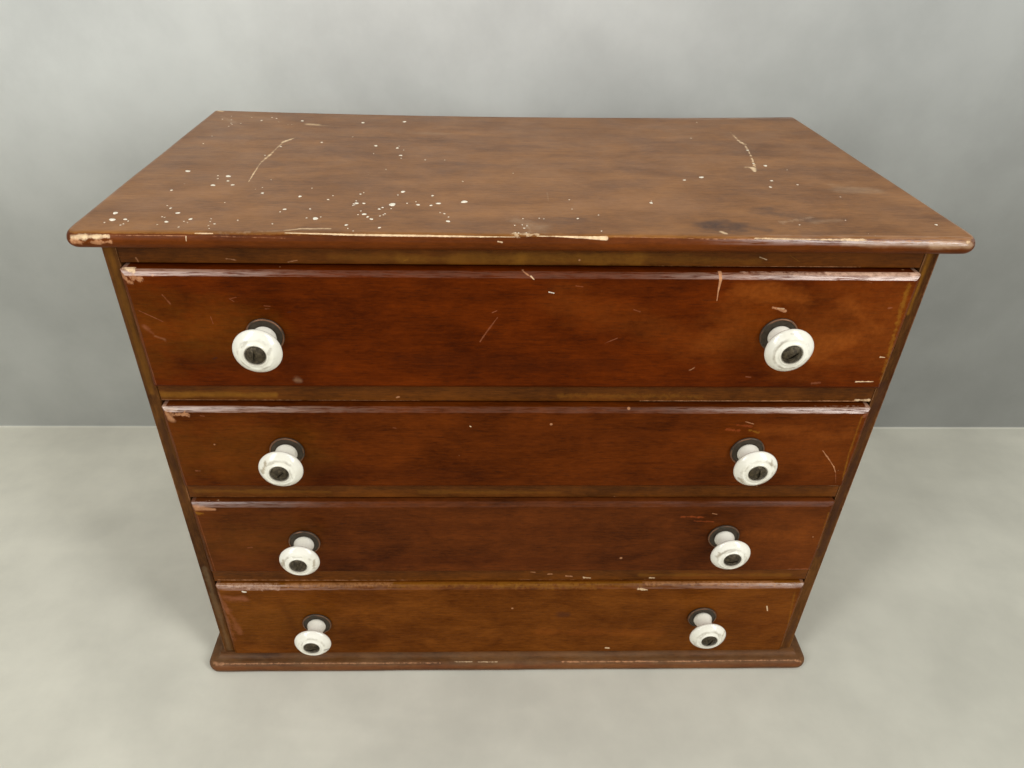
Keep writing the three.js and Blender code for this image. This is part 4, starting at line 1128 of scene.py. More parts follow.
# Across, and degrees round the base board's nose
BASE_MARKS = (
    (-54.2, 67.4, -37.5, 65.7, 0.66, 0.66, "raw", 0.6, 1.6, 0.7),
    (-31.6, 64.6, -12.9, 63.6, 0.65, 0.56, "raw", 0.6, 1.8, 0.7),
    # The three long rubbed lines near 60 degrees paint the highlight along the nose, partly real wear.
    (49.1, 60.8, 188, 58.5, 0.8, 0.8, "rubbed", 0.72, 2.2, 0.8),
    (-280, 61.7, -68.9, 58.8, 0.8, 0.75, "rubbed", 0.62, 2.4, 0.8),
    (188, 62.1, 284, 62.1, 0.75, 0.84, "rubbed", 0.6, 2.2, 0.8),
    (-290.7, 69.3, -280.8, 60.6, 1.85, 1.8, "rubbed", 0.5, 2, 0.7),
    (283.9, 55.5, 290.9, 55.1, 1.86, 1.86, "rubbed", 0.55, 2, 0.7),
    (-288, 22, 288, 20, 3.2, 3.2, "ember", 0.2, 2.4, 0.9),
)

# Cream paint specks on the top board: place across and back, and width
SPECKS = (
    (-92, -108, 5.0), (-222, -50, 4.4), (-42, -101, 4.4), (-256, -39, 4.3), (142, -41, 4.3),
    (-140, -136, 4.3), (-271, -141, 4.2), (-104, 126, 3.7), (-227, -71, 3.7), (-274, -129, 3.7),
    (-143, 119, 3.6), (203, -9, 3.5), (-121, 39, 3.4), (-60, -105, 3.4), (-87, -81, 3.4), (-169, 47, 2.7),
    (-201, 121, 3.1), (-213, -70, 3.1), (-102, 33, 2.9), (-233, -128, 3.0), (-52, -139, 3.0),
    (-109, -127, 2.9), (-221, -139, 2.9), (-235, -144, 2.9), (195, -3, 2.2), (127, -48, 2.8),
    (-117, -106, 2.8), (202, 36, 2.4), (-219, -61, 2.7), (-187, -87, 2.6), (-239, 119, 2.3), (-97, 11, 2.7),
    (195, -48, 2.7), (189, -63, 2.7), (-159, -93, 2.7), (-74, -108, 2.7), (-201, 32, 1.9), (91, -100, 2.6),
    (-227, 128, 1.7), (-253, -83, 2.5), (162, 75, 1.9), (-263, -140, 2.4), (-103, -136, 2.4),
    (-232, 131, 1.5), (182, 134, 1.8), (-230, -49, 1.9), (-65, -109, 2.3), (-118, -147, 2.3),
    (-65, -89, 2.3), (-112, -106, 2.1), (-241, -119, 1.9), (-164, -119, 2.3), (229, 96, 1.5),
    (277, -138, 2.2), (-228, -56, 1.8), (-44, -56, 1.6), (-96, -151, 2.1), (-276, 120, 1.4), (238, 75, 1.3),
    (-100, -117, 2.0), (-106, -132, 2.0), (-224, -153, 1.6), (-264, 106, 1.3), (166, 106, 1.4),
    (-117, -87, 1.8), (35, -132, 1.9), (-267, 118, 1.3), (-145, 67, 1.4), (-262, -43, 1.5), (212, -57, 1.7),
    (-98, -114, 1.6), (-268, 37, 1.5), (-138, -99, 1.8), (-203, -147, 1.7), (-251, 130, 1.1),
    (217, 74, 1.3), (-147, -118, 1.5), (-55, -125, 1.6), (-146, -135, 1.3), (-96, 27, 1.2), (217, -20, 1.1),
    (-272, -77, 1.1), (-190, -75, 1.2), (-90, -88, 1.2), (-95, -126, 1.2), (-224, -143, 1.3),
    (-2, -150, 1.4), (-76, -1, 1.3), (-82, -105, 1.2), (9, -132, 1.2), (48, -154, 1.2), (33, -95, 1.4),
    (-98, -130, 1.1), (-204, -155, 1.1), (-208, 107, 1.1), (-268, 61, 1.1), (-194, -79, 1.1),
    (-113, -128, 1.1), (218, -131, 1.1), (183, -140, 1.1), (-239, -136, 1.1), (0, -146, 1.1),
    (-188, -57, 1.1), (-198, -71, 1.1), (-208, -107, 1.1), (-92, -116, 1.1), (-120, 15, 1.1),
    (-117, -42, 1.1), (-208, -138, 1.1), (-190, -140, 1.1), (-261, -148, 1.1), (-6, -158, 1.1),
    (-271, 132, 1.1), (-263, 95, 1.1), (-96, 3, 1.1), (-60, -1, 1.1), (-5, -35, 1.1), (17, -91, 1.1),
    (234, -84, 1.1), (50, -125, 1.1), (-137, -133, 1.1), (-166, -146, 1.1), (-239, -149, 1.1),
    (-8, -145, 1.1), (-112, -157, 1.1), (164, 125, 1.1), (-211, 105, 1.1), (-166, -124, 1.1),
    (-222, 115, 1.1), (-262, 102, 1.1), (207, 70, 1.1), (-206, -150, 1.1), (-1, -158, 1.1),
    (226, -158, 1.1), (-255, 106, 1.1), (-119, -110, 1.1), (33, -114, 1.1), (-3, -144, 1.1),
    (-101, 39, 1.1), (-208, 6, 1.1), (-222, -157, 1.1), (-105, -28, 1.1), (-154, -75, 1.1),
    (-96, -128, 1.1), (-262, -150, 1.1), (-220, -156, 1.1), (-249, -68, 1.1), (-115, -84, 1.1),
    (-136, -91, 1.1), (-118, -101, 1.1), (92, -96, 1.1), (-76, -102, 1.1), (-119, -107, 1.1),
    (-118, -109, 1.1), (-58, -123, 1.1), (-241, -135, 1.1), (12, -133, 1.1), (-274, -146, 1.1),
    (-221, -145, 1.1), (-245, -114, 1.1), (-112, -121, 1.1), (-52, -131, 1.1), (-2, -133, 1.1),
    (-260, -143, 1.1), (-207, -143, 1.1), (-116, -153, 1.1), (-8, -158, 1.1), (223, -155, 1.1),
)

# Stains on the knobs, across and up from the middle of each: left then right knob, from the top drawer down
KNOB_MARKS = (
    ((-8, 6, -4, 10, 1.2, 1.0, "grime", 0.3, 3, 1), (9, 1, 10.5, 5, 1.6, 1.2, "grime", 0.35, 3, 1)),
    ((-3, 14.5, 4, 14.8, 0.6, 0.5, "grime", 0.25, 3, 1),),
    (
        (-13, 1, -9, 9, 2.6, 2.2, "stain", 0.66, 3, 1), (-9, 7, -3, 10, 1.2, 1.0, "grime", 0.35, 3, 1),
        (9, -5, 8, 4, 1.2, 1.0, "grime", 0.28, 3, 1),
    ),
    (
        (9, 9, 13, 4, 2.4, 2.0, "stain", 0.66, 3, 1), (-12, -7, -8, -11, 2.2, 1.8, "stain", 0.6, 3, 1),
        (-10, 2, -8, 7, 1.2, 1.0, "grime", 0.3, 3, 1), (4, -12, 9, -10, 1.8, 1.6, "stain", 0.4, 3, 1),
    ),
    (
        (-14, -3, -12, 5, 2.4, 2.1, "stain", 0.66, 3, 1), (12, -4, 13, 4, 2.2, 1.8, "stain", 0.6, 3, 1),
        (-3, 9.5, 4, 9.6, 1.1, 1.0, "grime", 0.3, 3, 1),
    ),
    (
        (-13, 2, -11, 6, 2.2, 1.8, "stain", 0.6, 3, 1), (-8, 7, 0, 10.5, 1.3, 1.1, "grime", 0.35, 3, 1),
        (9, 6, 11, -2, 1.2, 1.0, "grime", 0.32, 3, 1), (-2, -13, 6, -13, 1.8, 1.6, "stain", 0.35, 3, 1),
    ),
    ((11, -4, 14, -6, 1.6, 1.1, "shade", 0.6, 2, 0.7), (-9, 3, -7, 7, 1.2, 1.0, "grime", 0.3, 3, 1)),
    (
        (-9, 4, -5, 9, 1.4, 1.2, "grime", 0.36, 3, 1), (9, 3, 7, 8, 1.2, 1.0, "grime", 0.3, 3, 1),
        (12, 6, 13, 8, 1.8, 1.4, "stain", 0.6, 3, 1), (-13, -4, -11, -8, 2.0, 1.6, "stain", 0.35, 3, 1),
    ),
)


# Operators


def forms():
    return bpy.context.scene.cabinet_forms


def tones():
    return bpy.context.scene.cabinet_tones


def front_place(drawer, hand):
    """Where a knob's axis meets its drawer's face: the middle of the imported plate, at the face."""
    low, high = corners(f"{drawer}_{hand}_backplate")
    face = corners(f"{drawer}_front")[0][1]
    return np.array([(low[0] + high[0]) / 2, face, (low[2] + high[2]) / 2])


def seat_place(drawer, hand, piece):
    """Point of a knob's axis at the back of its packed knob or plate."""
    place = front_place(drawer, hand)
    place[1] = corners(f"{drawer}_{hand}_{piece}")[1][1]
    return place


class CABINET_OT_stage(bpy.types.Operator):
    """Sets up the pale floor with its backdrop, the soft lamps and the camera"""

    bl_idname = "cabinet.stage"
    bl_label = "Stage"

    # Place and size of each lamp. All of them point at the middle of the cabinet.
    middle = (0.0, 0.0, 0.3)
    lamps = {
        "left": ((-1.0, -1.05, 1.3), (0.4, 1.4)),
        "right": ((1.0, -1.05, 1.3), (0.4, 1.4)),
        "front": ((0.0, -2.6, 0.9), (3.0, 1.3)),
    }
    # Line of the sweep: where the floor starts, the radius of the bend, how high the backdrop goes, and how
    # far it goes to each side
    floor_start, bend, wall_top, half_width = -4.0, 0.003, 1.3, 3.5

    def execute(self, context):
        stage = context.scene.cabinet_stage
        self.sweep(stage)
        for side, (place, size) in self.lamps.items():
            self.lamp(f"{side}_lamp", place, size, getattr(stage, f"{side}_power"))
        self.room(context.scene, stage.sky)
        camera = new_object("camera", bpy.data.cameras.new("camera"))
        camera.location, camera.rotation_euler = stage.camera_place, stage.camera_turn
        camera.data.sensor_width, camera.data.lens = 36.0, stage.camera_lens
        camera.data.shift_x, camera.data.shift_y = stage.camera_shift
        camera.data.clip_start = 0.01
        context.scene.camera = camera
        context.scene.view_settings.view_transform = "Standard"
        return {"FINISHED"}

    def sweep(self, stage):
        """Floor that bends up into the backdrop: a line that runs level, turns a quarter circle and rises,
        carried along X."""
        bend, back = self.bend, stage.wall_place
        angle = np.linspace(0, math.pi / 2, 13)
        curve = np.column_stack([back - bend + bend * np.sin(angle), bend - bend * np.cos(angle)])
        line = np.vstack([[[self.floor_start, 0.0]], curve, [[back, self.wall_top]]])
        across = np.linspace(-self.half_width, self.half_width, 15)
        points = np.column_stack([np.repeat(across, len(line)), np.tile(line, (len(across), 1))])
        place, step = np.meshgrid(np.arange(len(across) - 1), np.arange(len(line) - 1), indexing="ij")
        first = (place * len(line) + step).ravel()
        faces = np.stack([first, first + len(line), first + len(line) + 1, first + 1], -1)
        mesh = make_mesh("floor_and_backdrop", points, faces)
        shade_smooth(mesh)
        sheet = new_object("floor_and_backdrop", mesh)
        material, w, shader = start_material("Pale paper", Specular_IOR_Level=0.2, Roughness=0.8)
        place = w.place()
        across, depth, height = w.parts(place)
        # Painted light falloff: the backdrop is made lighter upwards and darker to the right.
        rising = w.mix(w.between(height, 0.24, 0.6), opaque(stage.wall_low), opaque(stage.wall_high))
        darker = w.between(across, -0.1, 0.55, 1.0, stage.wall_right)
        wall = w.mix(1.0, rising, darker, "MULTIPLY")
        # Painted light falloff: the floor is made lighter at the left, and lighter towards the fold to offset
        # the shade in the corner.
        rightwards = w.between(across, -0.5, 0.5, smooth=False)
        floor = w.mix(rightwards, opaque(stage.floor), opaque(stage.floor_right))
        floor = w.mix(1.0, floor, w.between(depth, -0.1, 0.23, 1.0, 1.1), "MULTIPLY")
        sheet_tone = w.mix(w.between(height, 0.0002, 0.002), floor, wall)
        cloud = w.between(w.noise(place, 7.0, 6.0, 0.62), 0.25, 0.75, 0.9, 1.08)
        creases = w.noise(w.vectors("MULTIPLY", place, (1.0, 2.5, 1.0)), 3.0, 3.0, 0.5, 1.2)
        creases = w.between(creases, 0.3, 0.7, 0.96, 1.04)
        sheet_tone = w.mix(1.0, sheet_tone, w.maths("MULTIPLY", cloud, creases), "MULTIPLY")
        w.feed(shader, Base_Color=sheet_tone)
        clear = w.add("ShaderNodeBsdfTransparent").outputs[0]
        behind = w.add("ShaderNodeNewGeometry").outputs["Backfacing"]
        both = w.add("ShaderNodeMixShader", {0: behind, 1: shader.outputs[0], 2: clear}).outputs[0]
        w.tree.links.new(both, w.tree.nodes["Material Output"].inputs["Surface"])
        mesh.materials.append(material)

    def lamp(self, name, place, size, power):
        data = bpy.data.lights.new(name, "AREA")
        data.shape, data.size, data.size_y, data.energy = "RECTANGLE", *size, power
        lamp = new_object(name, data)
        lamp.location, lamp.visible_camera = place, False
        way = lamp.location - type(lamp.location)(self.middle)
        lamp.rotation_euler = way.to_track_quat("Z", "Y").to_euler()

    def room(self, scene, strength):
        world = bpy.data.worlds.new("Room")
        world.use_nodes = True
        light = world.node_tree.nodes["Background"].inputs
        light["Color"].default_value, light["Strength"].default_value = (1.0, 0.99, 0.96, 1.0), strength
        scene.world = world


class CABINET_OT_top_board(bpy.types.Operator):
    """Builds the worn top board with its half-round nosing and its paint specks"""

    bl_idname = "cabinet.top_board"
    bl_label = "Top board"

    # Place, reach along each axis and depth of the dents, in millimetres
    dents = (
        ((40, -165, 458), (11, 3, 2.5), 0.9), ((22, -165, 458), (12, 2, 1.5), 0.5),
        ((-198, -165, 452), (1.6, 3, 5), 0.5), ((-292, -160, 454), (9, 7, 5), 0.9),
        ((291, -160, 454), (6, 6, 6), 1.0), ((-100, -164, 457), (42, 2, 1.5), 0.4),
        ((214, -164, 457), (26, 2, 2), 0.4), ((124, -150, 458), (22, 9, 3), 0.3),
    )
    # A speck: grid lines round it, the reach of its rings, its height as a share of its width, how deep its
    # rim and its underside lie, and how far it is sunk into the worn board
    turns, reach, rise = 12, (1.0, 0.8, 0.4), 0.09
    rim, underside, sunk = 0.1 * MM, 0.3 * MM, 0.15 * MM

    def execute(self, context):
        form, box = forms(), corners("top_board")
        low, high = box
        radius = (high[2] - low[2]) / 2
        section = half_round(radius, 17) + [0.0, low[2]]
        points, faces = moulded(low[:2], high[:2], section, form.top_corner, form.grid_step, open_end=True)
        points = dented(points, faces, form.wear_depth, 0.09, 11, self.dents)
        points[:, 2] -= self.sag(points, low, high, form.top_sag)
        far = np.clip((points[:, 1] - low[1]) / (high[1] - low[1]), 0, 1)
        points[:, 0] -= form.top_skew * far * np.clip(points[:, 0] / high[0], 0, 1)
        marks = placed(TOP_MARKS, on_top(high[2]))
        marks += placed(TOP_NOSE_MARKS, on_nose(low[1], high[2] - radius, radius))
        # The sheen mixes a little painted highlight into the colour of the nosing where its gloss lies.
        material = wood(
            "Worn satin top", tones(), "top", box, figure=0.62, pores=0.16, flecks=0.06,
            wear=(WORN_EDGE, 1.2, 1.0, 0.5), marks=marks, chips=0.02, rough=(0.34, 0.48), specular=0.06,
            sheen=(0.9, 0.12, 6 * MM, (0.1, 0.17), None), film=0.32, under=(0.81, "nose"),
        )
        mesh = make_mesh("worn_top_board", points, faces)
        show("worn_top_board", mesh, material, CARCASS, ["top_board"])
        self.specks(low, high, form.top_sag)
        return {"FINISHED"}

    def sag(self, points, low, high, depth):
        """Sinking of the upper surface: the depth, times one less the square of the share of the way to
        an end, times the square of the share of the way to the back, times the share of the way up the
        board."""
        side = np.clip(np.abs(points[:, 0]) / high[0], 0, 1)
        back = np.clip((points[:, 1] - low[1]) / (high[1] - low[1]), 0, 1)
        up = np.clip((points[:, 2] - low[2]) / (high[2] - low[2]), 0, 1)
        return depth * (1 - side**2) * back**2 * up

    def specks(self, low, high, sag):
        """Flattened drops on the top: for each, rings of a circle whose radius wavers with the angle,
        sunk at the rim and raised in the middle by the square root of one less the square of the share
        of the radius."""
        draw = np.random.default_rng(5)
        turns, reach = self.turns, np.array(self.reach)
        x, y, width = (np.array(SPECKS) * MM).T
        count, turn = len(x), np.linspace(0, 2 * math.pi, turns, endpoint=False)
        phase = draw.uniform(0, 2 * math.pi, (count, 2, 1))
        wavy = 1 + 0.16 * np.sin(2 * turn + phase[:, 0]) + 0.1 * np.sin(3 * turn + phase[:, 1])
        rings = (width[:, None] / 2 * wavy)[:, None, :] * reach[:, None]
        rise = self.rise * width[:, None, None] * np.sqrt(1 - reach**2)[:, None]
        rise = rise - self.rim * (reach == 1)[:, None]
        grid = np.stack([
            x[:, None, None] + rings * np.cos(turn), y[:, None, None] + rings * np.sin(turn),
            np.broadcast_to(rise, rings.shape),
        ], -1).reshape(count, -1, 3)
        top = np.column_stack([x, y, self.rise * width])[:, None]
        foot = np.column_stack([x, y, np.full(count, -self.underside)])[:, None]
        points = np.concatenate([grid, top, foot], 1)
        step, following = np.arange(turns), (np.arange(turns) + 1) % turns
        inner, pole = len(reach) * turns - turns, np.full(turns, len(reach) * turns)
        faces = [
            np.stack([k + step, k + following, k + turns + following, k + turns + step], -1)
            for k in range(0, inner, turns)
        ]
        faces.append(np.stack([inner + step, inner + following, pole, pole], -1))
        faces.append(np.stack([following, step, pole + 1, pole + 1], -1))
        size = points.shape[1]
        faces = np.concatenate(faces)[None] + (size * np.arange(count))[:, None, None]
        flat = points.reshape(-1, 3)
        middle = np.repeat(np.column_stack([x, y, np.full(count, high[2])]), size, 0)
        flat[:, 2] += high[2] - self.sunk - self.sag(middle, low, high, sag)
        mesh = make_mesh("paint_specks", flat, faces.reshape(-1, 4), weld=True)
        material, w, shader = start_material("Cream paint", Specular_IOR_Level=0.4)
        dirt = w.between(w.noise(w.place(), 700.0, 3.0), 0.35, 0.7)
        cream = tones().paint
        colour = w.mix(dirt, opaque(cream), shaded(cream, 0.85))
        w.feed(shader, Base_Color=colour, Roughness=w.between(dirt, 0.0, 1.0, 0.45, 0.65))
        show("paint_specks", mesh, material, CARCASS)


class CABINET_OT_base_board(bpy.types.Operator):
    """Builds the base board with its nose and the hollow above it"""

    bl_idname = "cabinet.base_board"
    bl_label = "Base board"

    # Place, reach along each axis and depth of the dents, in millimetres
    dents = (
        ((90, -162, 7), (14, 4, 4), 0.5), ((-291, -158, 7), (6, 6, 6), 0.7), ((290, -158, 8), (6, 6, 5), 0.5)
    )
    # How far in front of the middle the unevenness starts, and over what length it comes in
    wear_start, wear_fade = 130 * MM, 20 * MM

    def execute(self, context):
        form, box = forms(), corners("base_board")
        low, high = box
        radius = form.base_nose / 2
        rise = high[2] - form.base_nose
        run = form.base_projection - radius - form.base_flat
        angle = np.linspace(0, math.pi / 2, 8)[1:]
        hollow = np.column_stack([radius + run * np.sin(angle), form.base_nose + rise * (1 - np.cos(angle))])
        section = np.vstack([half_round(radius, 13), hollow]) + [0.0, low[2]]
        points, faces = moulded(low[:2], high[:2], section, form.base_corner, form.grid_step, open_end=True)
        wear = form.wear_depth * np.clip((-points[:, 1] - self.wear_start) / self.wear_fade, 0, 1)
        uneven = wear * waver(points, 0.06, 23)
        standing = points[:, 2:] <= 1 * MM
        inwards = normals_of(points, faces) * ~standing
        points = dented(points, faces, 0.0, 0.07, 23, self.dents) - uneven[:, None] * inwards
        material = wood(
            "Dusty base", tones(), "base", box, figure=0.7, flecks=0.08, dust=0.24, rough=(0.4, 0.6),
            marks=placed(BASE_MARKS, on_nose(low[1], low[2] + radius, radius)), specular=0.2, offset=3.1,
        )
        mesh = make_mesh("moulded_base_board", points, faces)
        show("moulded_base_board", mesh, material, CARCASS, ["base_board"])
        return {"FINISHED"}


class CABINET_OT_carcass(bpy.types.Operator):
    """Builds the side boards and the rails with their eased edges, and finishes the back and the runners"""

    bl_idname = "cabinet.carcass"
    bl_label = "Carcass boards"

    def execute(self, context):
        form, paint = forms(), tones()
        for number, hand in enumerate(HANDS):
            node = f"{hand}_side"
            self.board(
                node, f"Stained {hand} side", SIDE_MARKS[node], paint, "side", form.soft_edge, grain="z",
                offset=1.3 + number, figure=0.8, wear=(WORN_EDGE, 1.4, 1.2, 0.22), chips=0.015, specular=0.05,
            )
        for number, node in enumerate(RAILS):
            self.board(
                node, f"Golden {node}", RAIL_MARKS[node], paint, "stain", form.soft_edge,
                offset=4.7 + number, figure=0.9, chips=0.1, specular=0.1,
            )
        inner = wood(
            "Bare softwood", paint, "inner", None, figure=0.9, rough=(0.6, 0.75), specular=0.2, pores=0.15,
            flecks=0.0, offset=9.0,
        )
        finish_packed(["back_panel", *(f"{hand}_runner_{i}" for hand in HANDS for i in (1, 2, 3))], inner)
        return {"FINISHED"}

    def board(self, node, name, marks, paint, part, edge, **look):
        """Shows a stained board of the carcass, with marks on its front edge alone."""
        box = corners(node)
        material = wood(
            name, paint, part, box, marks=placed(marks, on_front), flat=FLAT_FRONT,
            before=box[0][1] + 1 * MM, rough=(0.36, 0.55), **look
        )
        show_softened(node, f"stained_{node}", material, CARCASS, edge)


class CABINET_OT_drawer_fronts(bpy.types.Operator):
    """Builds the four worn drawer fronts, with the sockets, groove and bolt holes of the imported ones"""

    bl_idname = "cabinet.drawer_fronts"
    bl_label = "Drawer fronts"

    def execute(self, context):
        form, paint = forms(), tones()
        for number, drawer in enumerate(DRAWERS):
            node, name = f"{drawer}_front", f"{drawer}_worn_front"
            low, high = corners(node)
            points, faces = self.worn(form, low, high, 31 + number)
            mesh = combined(
                name, make_mesh(name, points, faces), joined_copy(node, name + "_packed"), "INTERSECT"
            )
            # Each front's sheen mixes a painted highlight, partly a milky worn bloom, into the colour of its
            # arris.
            gloss = FRONT_SHEENS[number]
            material = wood(
                f"Varnished front {number + 1}", paint, node, (low, high), offset=11.3 * (number + 1),
                figure=0.7, wear=(WORN_EDGE, 1.4, 1.2, 0.4), marks=placed(FRONT_MARKS[number], on_front),
                flat=FLAT_FRONT, before=low[1] + 6 * MM, pores=0.4, flecks=0.14, chips=0.04,
                rough=(0.3, 0.45), specular=0.03, sheen=(*gloss[:2], form.arris, *gloss[2:]),
            )
            show(name, mesh, material, drawer, [node])
        return {"FINISHED"}

    def worn(self, form, low, high, seed):
        """Grid of a front. Its arris lies between a quarter circle and its chord, by a share, and it is
        dented at both upper corners and at the middle of its left edge."""
        inner_low, inner_high = low + form.front_slack, high - form.front_slack
        depth = inner_high[1] - inner_low[1]
        share = np.linspace(0, 1, 8)
        angle = share * math.pi / 2
        inset = form.arris * (form.arris_flat * share + (1 - form.arris_flat) * (1 - np.cos(angle)))
        back = form.arris * (form.arris_flat * (1 - share) + (1 - form.arris_flat) * (1 - np.sin(angle)))
        section = np.vstack([[[0.0, 0.0], [0.0, depth / 2]], np.column_stack([inset, depth - back])])
        grid, faces = moulded(
            inner_low[[0, 2]], inner_high[[0, 2]], section, form.front_corner, form.grid_step * 0.8
        )
        points = np.column_stack([grid[:, 0], inner_high[1] - grid[:, 2], grid[:, 1]])
        left, face, foot, top = low[0] / MM, low[1] / MM, low[2] / MM, high[2] / MM
        dents = (
            ((left + 3, face, top - 4), (5, 3, 4), 0.5), ((-left - 4, face, top - 3), (6, 3, 3), 0.3),
            ((left + 2, face, (top + foot) / 2), (3, 3, 9), 0.35),
        )
        return dented(points, faces, form.wear_depth, 0.05, seed, dents), faces


class CABINET_OT_drawer_boxes(bpy.types.Operator):
    """Builds the dovetailed drawer sides and backs with eased edges, and finishes the bottoms"""

    bl_idname = "cabinet.drawer_boxes"
    bl_label = "Drawer boxes"

    def execute(self, context):
        edge, paint = forms().soft_edge / 2, tones()
        finish = {"rough": (0.55, 0.72), "specular": 0.2, "pores": 0.18, "figure": 0.85, "flecks": 0.0}
        lengthwise = wood("Bare drawer side", paint, "inner", None, "y", 2.0, **finish)
        crosswise = wood("Bare drawer board", paint, "inner", None, "x", 6.0, **finish)
        boards = {"left_side": lengthwise, "right_side": lengthwise, "back": crosswise}
        for drawer in DRAWERS:
            for part, material in boards.items():
                name = f"{drawer}_dovetailed_{part}"
                show_softened(f"{drawer}_{part}", name, material, drawer, edge)
            finish_packed([f"{drawer}_bottom"], crosswise)
        return {"FINISHED"}


class CABINET_OT_knobs(bpy.types.Operator):
    """Builds the eight porcelain knobs"""

    bl_idname = "cabinet.knobs"
    bl_label = "Porcelain knobs"

    # Outline from the collar over the waist and the disc to the foot of the ring: radius as a share of the
    # knob's radius and height as a share of its length
    outline = (
        (0.46, 0.0), (0.515, 0.085), (0.435, 0.25), (0.41, 0.4), (0.46, 0.55), (0.585, 0.64),
        (0.755, 0.669), (0.94, 0.705), (1.0, 0.757), (0.985, 0.8), (0.937, 0.839), (0.874, 0.878),
        (0.795, 0.92), (0.7, 0.955), (0.63, 0.96),
    )

    # Radius of the hole for the bolt, radius and depth of the seat of its head, and the ring round that
    # seat: radius, and how far it lies under the knob's top, in millimetres
    bore, seat, seat_depth = 2.7, 7.2, 1.4
    ring = ((8.6, 0.5), (8.3, 0.1), (7.9, 0.0), (7.35, 0.05), (7.2, 0.3))
    # Radius from which the disc wavers, and over what length the waver comes in, in millimetres
    even, fade = 8.5, 4
    aged = (0.72, 0.68, 0.52)  # linear tone of the yellowed film on the glaze

    def execute(self, context):
        form = forms()
        skin = spline(np.array(self.outline) * [form.knob_radius, form.knob_length], 70)
        bore, seat, floor = self.bore * MM, self.seat * MM, form.knob_length - self.seat_depth * MM
        ring = np.array(self.ring) * [MM, -MM] + [0.0, form.knob_length]
        profile = np.vstack([[[bore, 0.0]], skin, ring, [[seat, floor], [bore, floor], [bore, 0.0]]])
        for number, (drawer, hand) in enumerate(KNOBS):
            place = seat_place(drawer, hand, "knob")
            marks = placed(
                KNOB_MARKS[number], lambda x, z: (place[0] + x * MM, 0.0, place[2] + z * MM)
            )
            material = self.glaze(f"White glaze {number + 1}", tones(), marks)
            points, faces, shares = turned(profile, 80)
            lumps = form.knob_waver * (waver(points + number, 0.02, 41) - 0.5)
            out = np.linalg.norm(points[:, :2], axis=1)
            lumps = lumps * np.clip((out - self.even * MM) / (self.fade * MM), 0, 1) / form.knob_radius
            name = f"{drawer}_{hand}_porcelain_knob"
            points = out_of_face(points * (1 + lumps[:, None]), place)
            mesh = make_mesh(name, points, faces, shares, weld=True)
            show(name, mesh, material, drawer, [f"{drawer}_{hand}_knob"])
        return {"FINISHED"}

    def glaze(self, name, paint, marks):
        """White glaze with grime in the ring's foot, the waist and the recess, by the share of the
        profile, and with its own stains."""
        material, w, shader = start_material(
            name, Specular_IOR_Level=0.5, Coat_Weight=0.3, Coat_Roughness=0.06, IOR=1.5
        )
        place, along = w.place(), w.along_profile()
        ragged = w.maths("SUBTRACT", w.noise(place, 210.0, 4.0, 0.65), 0.5)
        patchy = w.between(w.noise(place, 60.0, 3.0, 0.6), 0.42, 0.66)
        moved = w.maths("MULTIPLY_ADD", ragged, 0.1, along)
        foot = w.maths("MULTIPLY", w.between(w.off(moved, 0.84), 0.0, 0.07, 1.0, 0.0), patchy)
        waist = w.maths("MULTIPLY", w.between(w.off(moved, 0.27), 0.0, 0.09, 0.4, 0.0), patchy)
        recess = w.between(along, 0.925, 0.95, 0.0, 0.6)
        dirt = w.maths("MAXIMUM", w.maths("MULTIPLY", foot, 0.72), w.maths("MAXIMUM", waist, recess))
        pits = w.group("Chips", vector=place, scale=240.0, size=0.16, part=0.03)["Mask"]
        dirt = w.maths("MAXIMUM", dirt, w.maths("MULTIPLY", pits, 0.7), clamp=True)
        film = w.between(w.noise(place, 70.0, 4.0, 0.6), 0.4, 0.7, 0.0, 0.32)
        colour = w.mix(film, opaque(paint.porcelain), opaque(self.aged))
        flat = w.vectors("MULTIPLY", place, FLAT_FRONT)
        for mark in marks:
            colour = w.mix(w.mark(flat, mark, noise=ragged), colour, opaque(getattr(paint, mark[4])))
        colour = w.mix(dirt, colour, opaque(paint.grime))
        height = w.maths("MULTIPLY_ADD", dirt, -0.4, w.noise(place, 120.0, 2.0))
        rough = w.maths("MULTIPLY_ADD", dirt, 0.4, 0.16)
        w.feed(shader, Base_Color=colour, Roughness=rough, Normal=w.bump(height, 0.35, 0.3 * MM))
        return material


